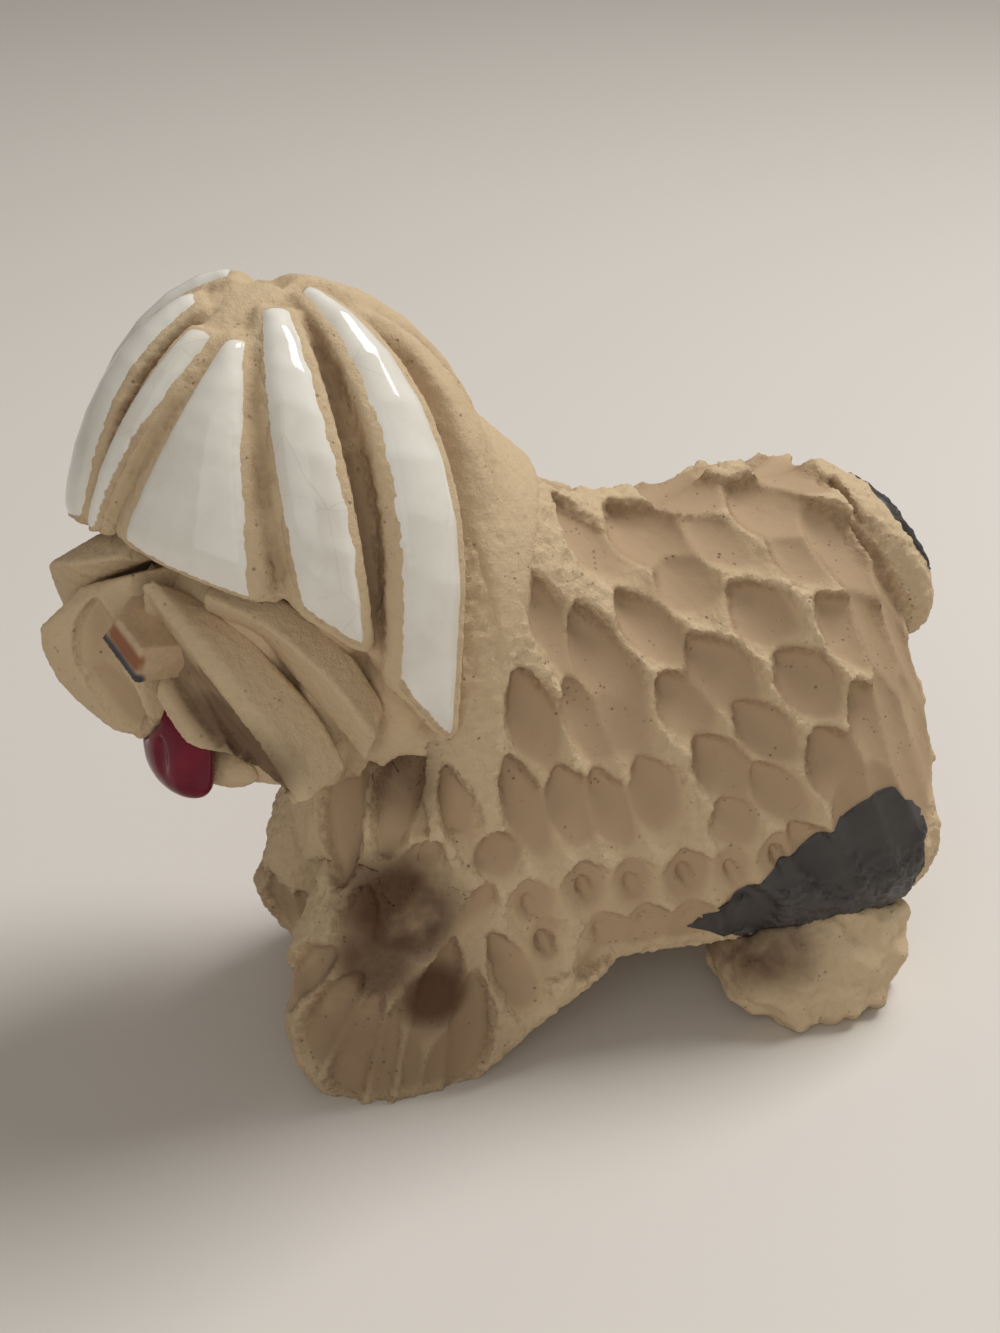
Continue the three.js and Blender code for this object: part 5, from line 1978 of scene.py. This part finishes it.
@dataclass
class Legs:
    """Rear paws, pinched from uneven lumps of clay."""

    carver: Carver
    clay: bpy.types.Material
    taper_front: float = 7.5 * MM
    taper_rear: float = 3.0 * MM
    lumps: tuple[tuple[float, float], ...] = ((1.7 * MM, 230.0), (0.7 * MM, 520.0))
    voxel: float = 0.6 * MM
    seam: float = 0.25 * MM
    stain_rise: tuple[float, float] = (0.25, 0.75)
    stain_run: tuple[float, float] = (0.25, 0.6)

    def build(self) -> None:
        """Make all pieces."""
        for side in Side:
            self._rear_paw(side)

    def _rear_paw(self, side: Side) -> None:
        """Pinch a rear paw that tapers to its toes and darkens at its front.

        Args:
            side: side of the dog.
        """
        node = f"rear_paw_{side.word}"
        low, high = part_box(node)
        lump = blank(node, f"{node}_uncut", self.voxel, self.seam, 3)
        places = positions(lump.data)
        drop = np.clip(1 - places[:, 2] / (0.8 * high[2]), 0, 1) ** 1.5
        behind = (places[:, 1] - low[1]) / (high[1] - low[1])
        places[:, 1] += drop * (self.taper_front * (1 - behind) - self.taper_rear * behind)
        for reach, fineness in self.lumps:
            uneven = np.array([noise.noise(Vector(place) * fineness) for place in places])
            places += directions(lump.data) * (reach * uneven)[:, None]
        move(lump.data, places)
        plan = Plan(node, tear=1.2 * MM, tear_scale=330.0, hollow_tear=0.7, lump=lump)
        paw = self.carver.carve(plan, self.clay)
        places = positions(paw.data)
        behind = (places[:, 1] - low[1]) / (high[1] - low[1])
        above = ramp(places[:, 2], *(share * high[2] for share in self.stain_rise))
        paint(paw, "stain", above * (1 - ramp(behind, *self.stain_run)))
        keep(paw, Slot.CLAY, node)


@dataclass
class Patches:
    """Charcoal glaze that lies in the carved surface of the coat and the tail."""

    carver: Carver
    finish: bpy.types.Material
    film: float = 0.3 * MM
    wobble: float = 0.8 * MM
    inner: float = 2.0 * MM
    outer: float = 45.0 * MM
    rim_step: float = 2.2 * MM
    tail_reach: float = 9.8 * MM
    tail_corners: int = 28
    seed: int = 5

    def outline(self, node: str) -> list[tuple[float, float]]:
        """Side view of a glaze part, with an uneven edge.

        Args:
            node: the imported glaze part.

        Returns:
            Corners as distances along the body and heights.
        """
        dice = random.Random(self.seed)
        rim = convex_outline((vertex.co.y, vertex.co.z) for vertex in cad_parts[node].data.vertices)
        corners = []
        for (y, z), (to_y, to_z) in zip(rim, rim[1:] + rim[:1]):
            run = math.hypot(to_y - y, to_z - z)
            steps = max(round(run / self.rim_step), 1)
            aside, up = (to_z - z) / (run or 1), -(to_y - y) / (run or 1)
            for i in range(steps):
                share = i / steps
                out = dice.uniform(-self.wobble, 0.6 * self.wobble)
                corners.append((y + share * (to_y - y) + out * aside, z + share * (to_z - z) + out * up))
        return corners

    def build(self, carved: bpy.types.Object, node: str, side: Side) -> None:
        """Cut one patch out of a copy of the carved clay.

        Args:
            carved: the carved piece that carries the glaze.
            node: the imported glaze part, whose outline counts.
            side: side of the dog that it lies on.
        """
        rim = self.outline(node)
        room = tube("room", [
            [Vector((x * side.value, y, z)) for y, z in rim] for x in (self.inner, self.outer)
        ])
        self._film(carved, node, room)

    def build_tail(self, carved: bpy.types.Object, node: str) -> None:
        """Cut the patch on the outer face of the tail, which wraps round its edge.

        Args:
            carved: the carved tail.
            node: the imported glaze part.
        """
        low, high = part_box(node)
        tall = 0.4 * (high[2] - low[2])
        middle = 0.55 * low[2] + 0.45 * high[2]
        dice = random.Random(self.seed)
        rim = []
        for i in range(self.tail_corners):
            turn = 2 * math.pi * i / self.tail_corners
            out = 1 + dice.uniform(-0.06, 0.06)
            aside = self.tail_reach * (1 + out * math.cos(turn))
            rim.append((low[0] + aside, middle + out * tall * math.sin(turn)))
        slope = 0.72 * (high[1] - low[1]) / (high[2] - low[2])
        room = tube("room", [
            [Vector((x, low[1] + slope * (high[2] - z), z)) for x, z in rim],
            [Vector((x, high[1] + 10 * MM, z)) for x, z in rim],
        ])
        self._film(carved, node, room)

    def _film(self, carved: bpy.types.Object, node: str, room: bpy.types.Object) -> None:
        """Keep the share of a swollen copy of the clay that lies in a room.

        Args:
            carved: carved piece that carries the glaze.
            node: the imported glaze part.
            room: body that bounds the patch, which is discarded.
        """
        patch = show(f"{node}_film", carved.data.copy())
        swell(patch, self.film)
        self.carver.join(patch, room, Cut.INTERSECT, self.finish)
        self.carver.clean(patch, self.finish, 80.0)
        keep(patch, Slot.CHARCOAL, node)
        discard(room)


def convex_outline(points: Iterable[tuple[float, float]]) -> list[tuple[float, float]]:
    """Corners of the tight convex outline round flat points, in order.

    Args:
        points: the flat points.

    Returns:
        The corners.
    """
    ordered = sorted(set(points))

    def chain(row: Iterable[tuple[float, float]]) -> list[tuple[float, float]]:
        """One side of the outline.

        Args:
            row: points in order.

        Returns:
            Its corners without the last.
        """
        kept: list[tuple[float, float]] = []
        for point in row:
            while len(kept) > 1 and (
                (kept[-1][0] - kept[-2][0]) * (point[1] - kept[-2][1])
                <= (kept[-1][1] - kept[-2][1]) * (point[0] - kept[-2][0])
            ):
                kept.pop()
            kept.append(point)
        return kept[:-1]

    return chain(ordered) + chain(reversed(ordered))


def keep(piece: bpy.types.Object, slot: Slot, *nodes: str) -> None:
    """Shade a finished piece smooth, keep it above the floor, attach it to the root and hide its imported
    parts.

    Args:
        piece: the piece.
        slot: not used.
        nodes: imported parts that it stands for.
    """
    for face in piece.data.polygons:
        face.use_smooth = True
    places = positions(piece.data)
    places[:, 2] = np.maximum(places[:, 2], 0)
    move(piece.data, places)
    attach(piece, "root")
    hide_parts(*nodes)
    LOG.info("%s: %d faces", piece.name, len(piece.data.polygons))


@dataclass
class Studio:
    """Pale floor, soft light from above and the camera."""

    floor_colour: str = "d9d3cb"
    floor_cloud: str = "d5cec5"
    target: Vector = field(default_factory=lambda: Vector((-26.766, 6.934, 40.0)) * MM)
    azimuth: float = 72.0
    elevation: float = 29.0
    distance: float = 330 * MM
    lens: float = 54.01
    lamps: tuple[tuple[str, tuple[float, float, float], float, float], ...] = (
        ("top", (-0.1, 0.45, 0.85), 0.45, 7.0), ("front", (0.8, -0.45, 0.5), 0.9, 2.5),
    )

    def build(self) -> None:
        """Make the floor, the lights and the camera."""
        self._floor()
        self._world()
        for lamp in self.lamps:
            self._lamp(*lamp)
        self._camera()

    def _floor(self) -> None:
        """Make the flat pale floor."""
        mesh = bpy.data.meshes.new("floor")
        corners = [(-4, -4, 0), (4, -4, 0), (4, 4, 0), (-4, 4, 0)]
        mesh.from_pydata(corners, [], [(0, 1, 2, 3)])
        floor = show("floor", mesh)
        nodes = FinishTree("floor_paper")
        tone = nodes.blend(nodes.noise(nodes.place, 3.0), linear(self.floor_colour), linear(self.floor_cloud))
        nodes.set(Base_Color=tone, Roughness=0.7)
        mesh.materials.append(nodes.stuff)

    @staticmethod
    def _world() -> None:
        """Light the scene softly from all sides."""
        world = bpy.data.worlds.new("studio")
        world.use_nodes = True
        sky = world.node_tree.nodes["Background"]
        sky.inputs["Color"].default_value = linear("f4efe8")
        sky.inputs["Strength"].default_value = 0.28
        bpy.context.scene.world = world

    @staticmethod
    def _lamp(name: str, place: tuple[float, float, float], size: float, power: float) -> None:
        """Hang a square lamp that looks at the dog.

        Args:
            name: name of the lamp.
            place: where it hangs, in metres.
            size: length of an edge.
            power: its power in watts.
        """
        data = bpy.data.lights.new(name, "AREA")
        data.shape = "SQUARE"
        data.size = size
        data.energy = power
        lamp = bpy.data.objects.new(name, data)
        lamp.location = place
        way = Vector((0, 0, 0.05)) - Vector(place)
        lamp.rotation_euler = way.to_track_quat("-Z", "Y").to_euler()
        bpy.context.scene.collection.objects.link(lamp)

    def _camera(self) -> None:
        """Stand the camera where the photograph was taken from."""
        turn, lift = math.radians(self.azimuth), math.radians(self.elevation)
        back = Vector((math.sin(turn) * math.cos(lift), -math.cos(turn) * math.cos(lift), math.sin(lift)))
        data = bpy.data.cameras.new("camera")
        data.lens = self.lens
        data.clip_start = 0.01
        camera = bpy.data.objects.new("camera", data)
        camera.location = self.target + back * self.distance
        camera.rotation_euler = (-back).to_track_quat("-Z", "Y").to_euler()
        bpy.context.scene.collection.objects.link(camera)
        bpy.context.scene.camera = camera


def main() -> None:
    """Build the dog's looks piece by piece."""
    logging.basicConfig(level=logging.INFO, format="%(name)s %(message)s")
    bpy.context.scene.view_settings.view_transform = "Standard"
    clay = ClayFinish().material()
    white = GlazeFinish("white_glaze", "e8e4d9", "ded8cb", "c3aa87", 0.1, crackle=0.12).material()
    charcoal = GlazeFinish("charcoal_glaze", "3b3735", "2f2c2b", "5a5048", 0.42, waves=0.6).material()
    carver = Carver()
    Studio().build()
    trunk = Trunk(carver, clay, Coat())
    trunk.build()
    Head(carver, clay, white, TongueFinish().material(), NoseFinish().material(), trunk.body).build()
    discard(trunk.body)
    Legs(carver, clay).build()
    patches = Patches(carver, charcoal)
    for side in Side:
        patches.build(trunk.pieces["coat"], f"haunch_glaze_{side.word}", side)
    patches.build_tail(trunk.pieces["tail_stub"], "tail_glaze")
    discard(carver.tool)


if __name__ == "__main__":
    main()
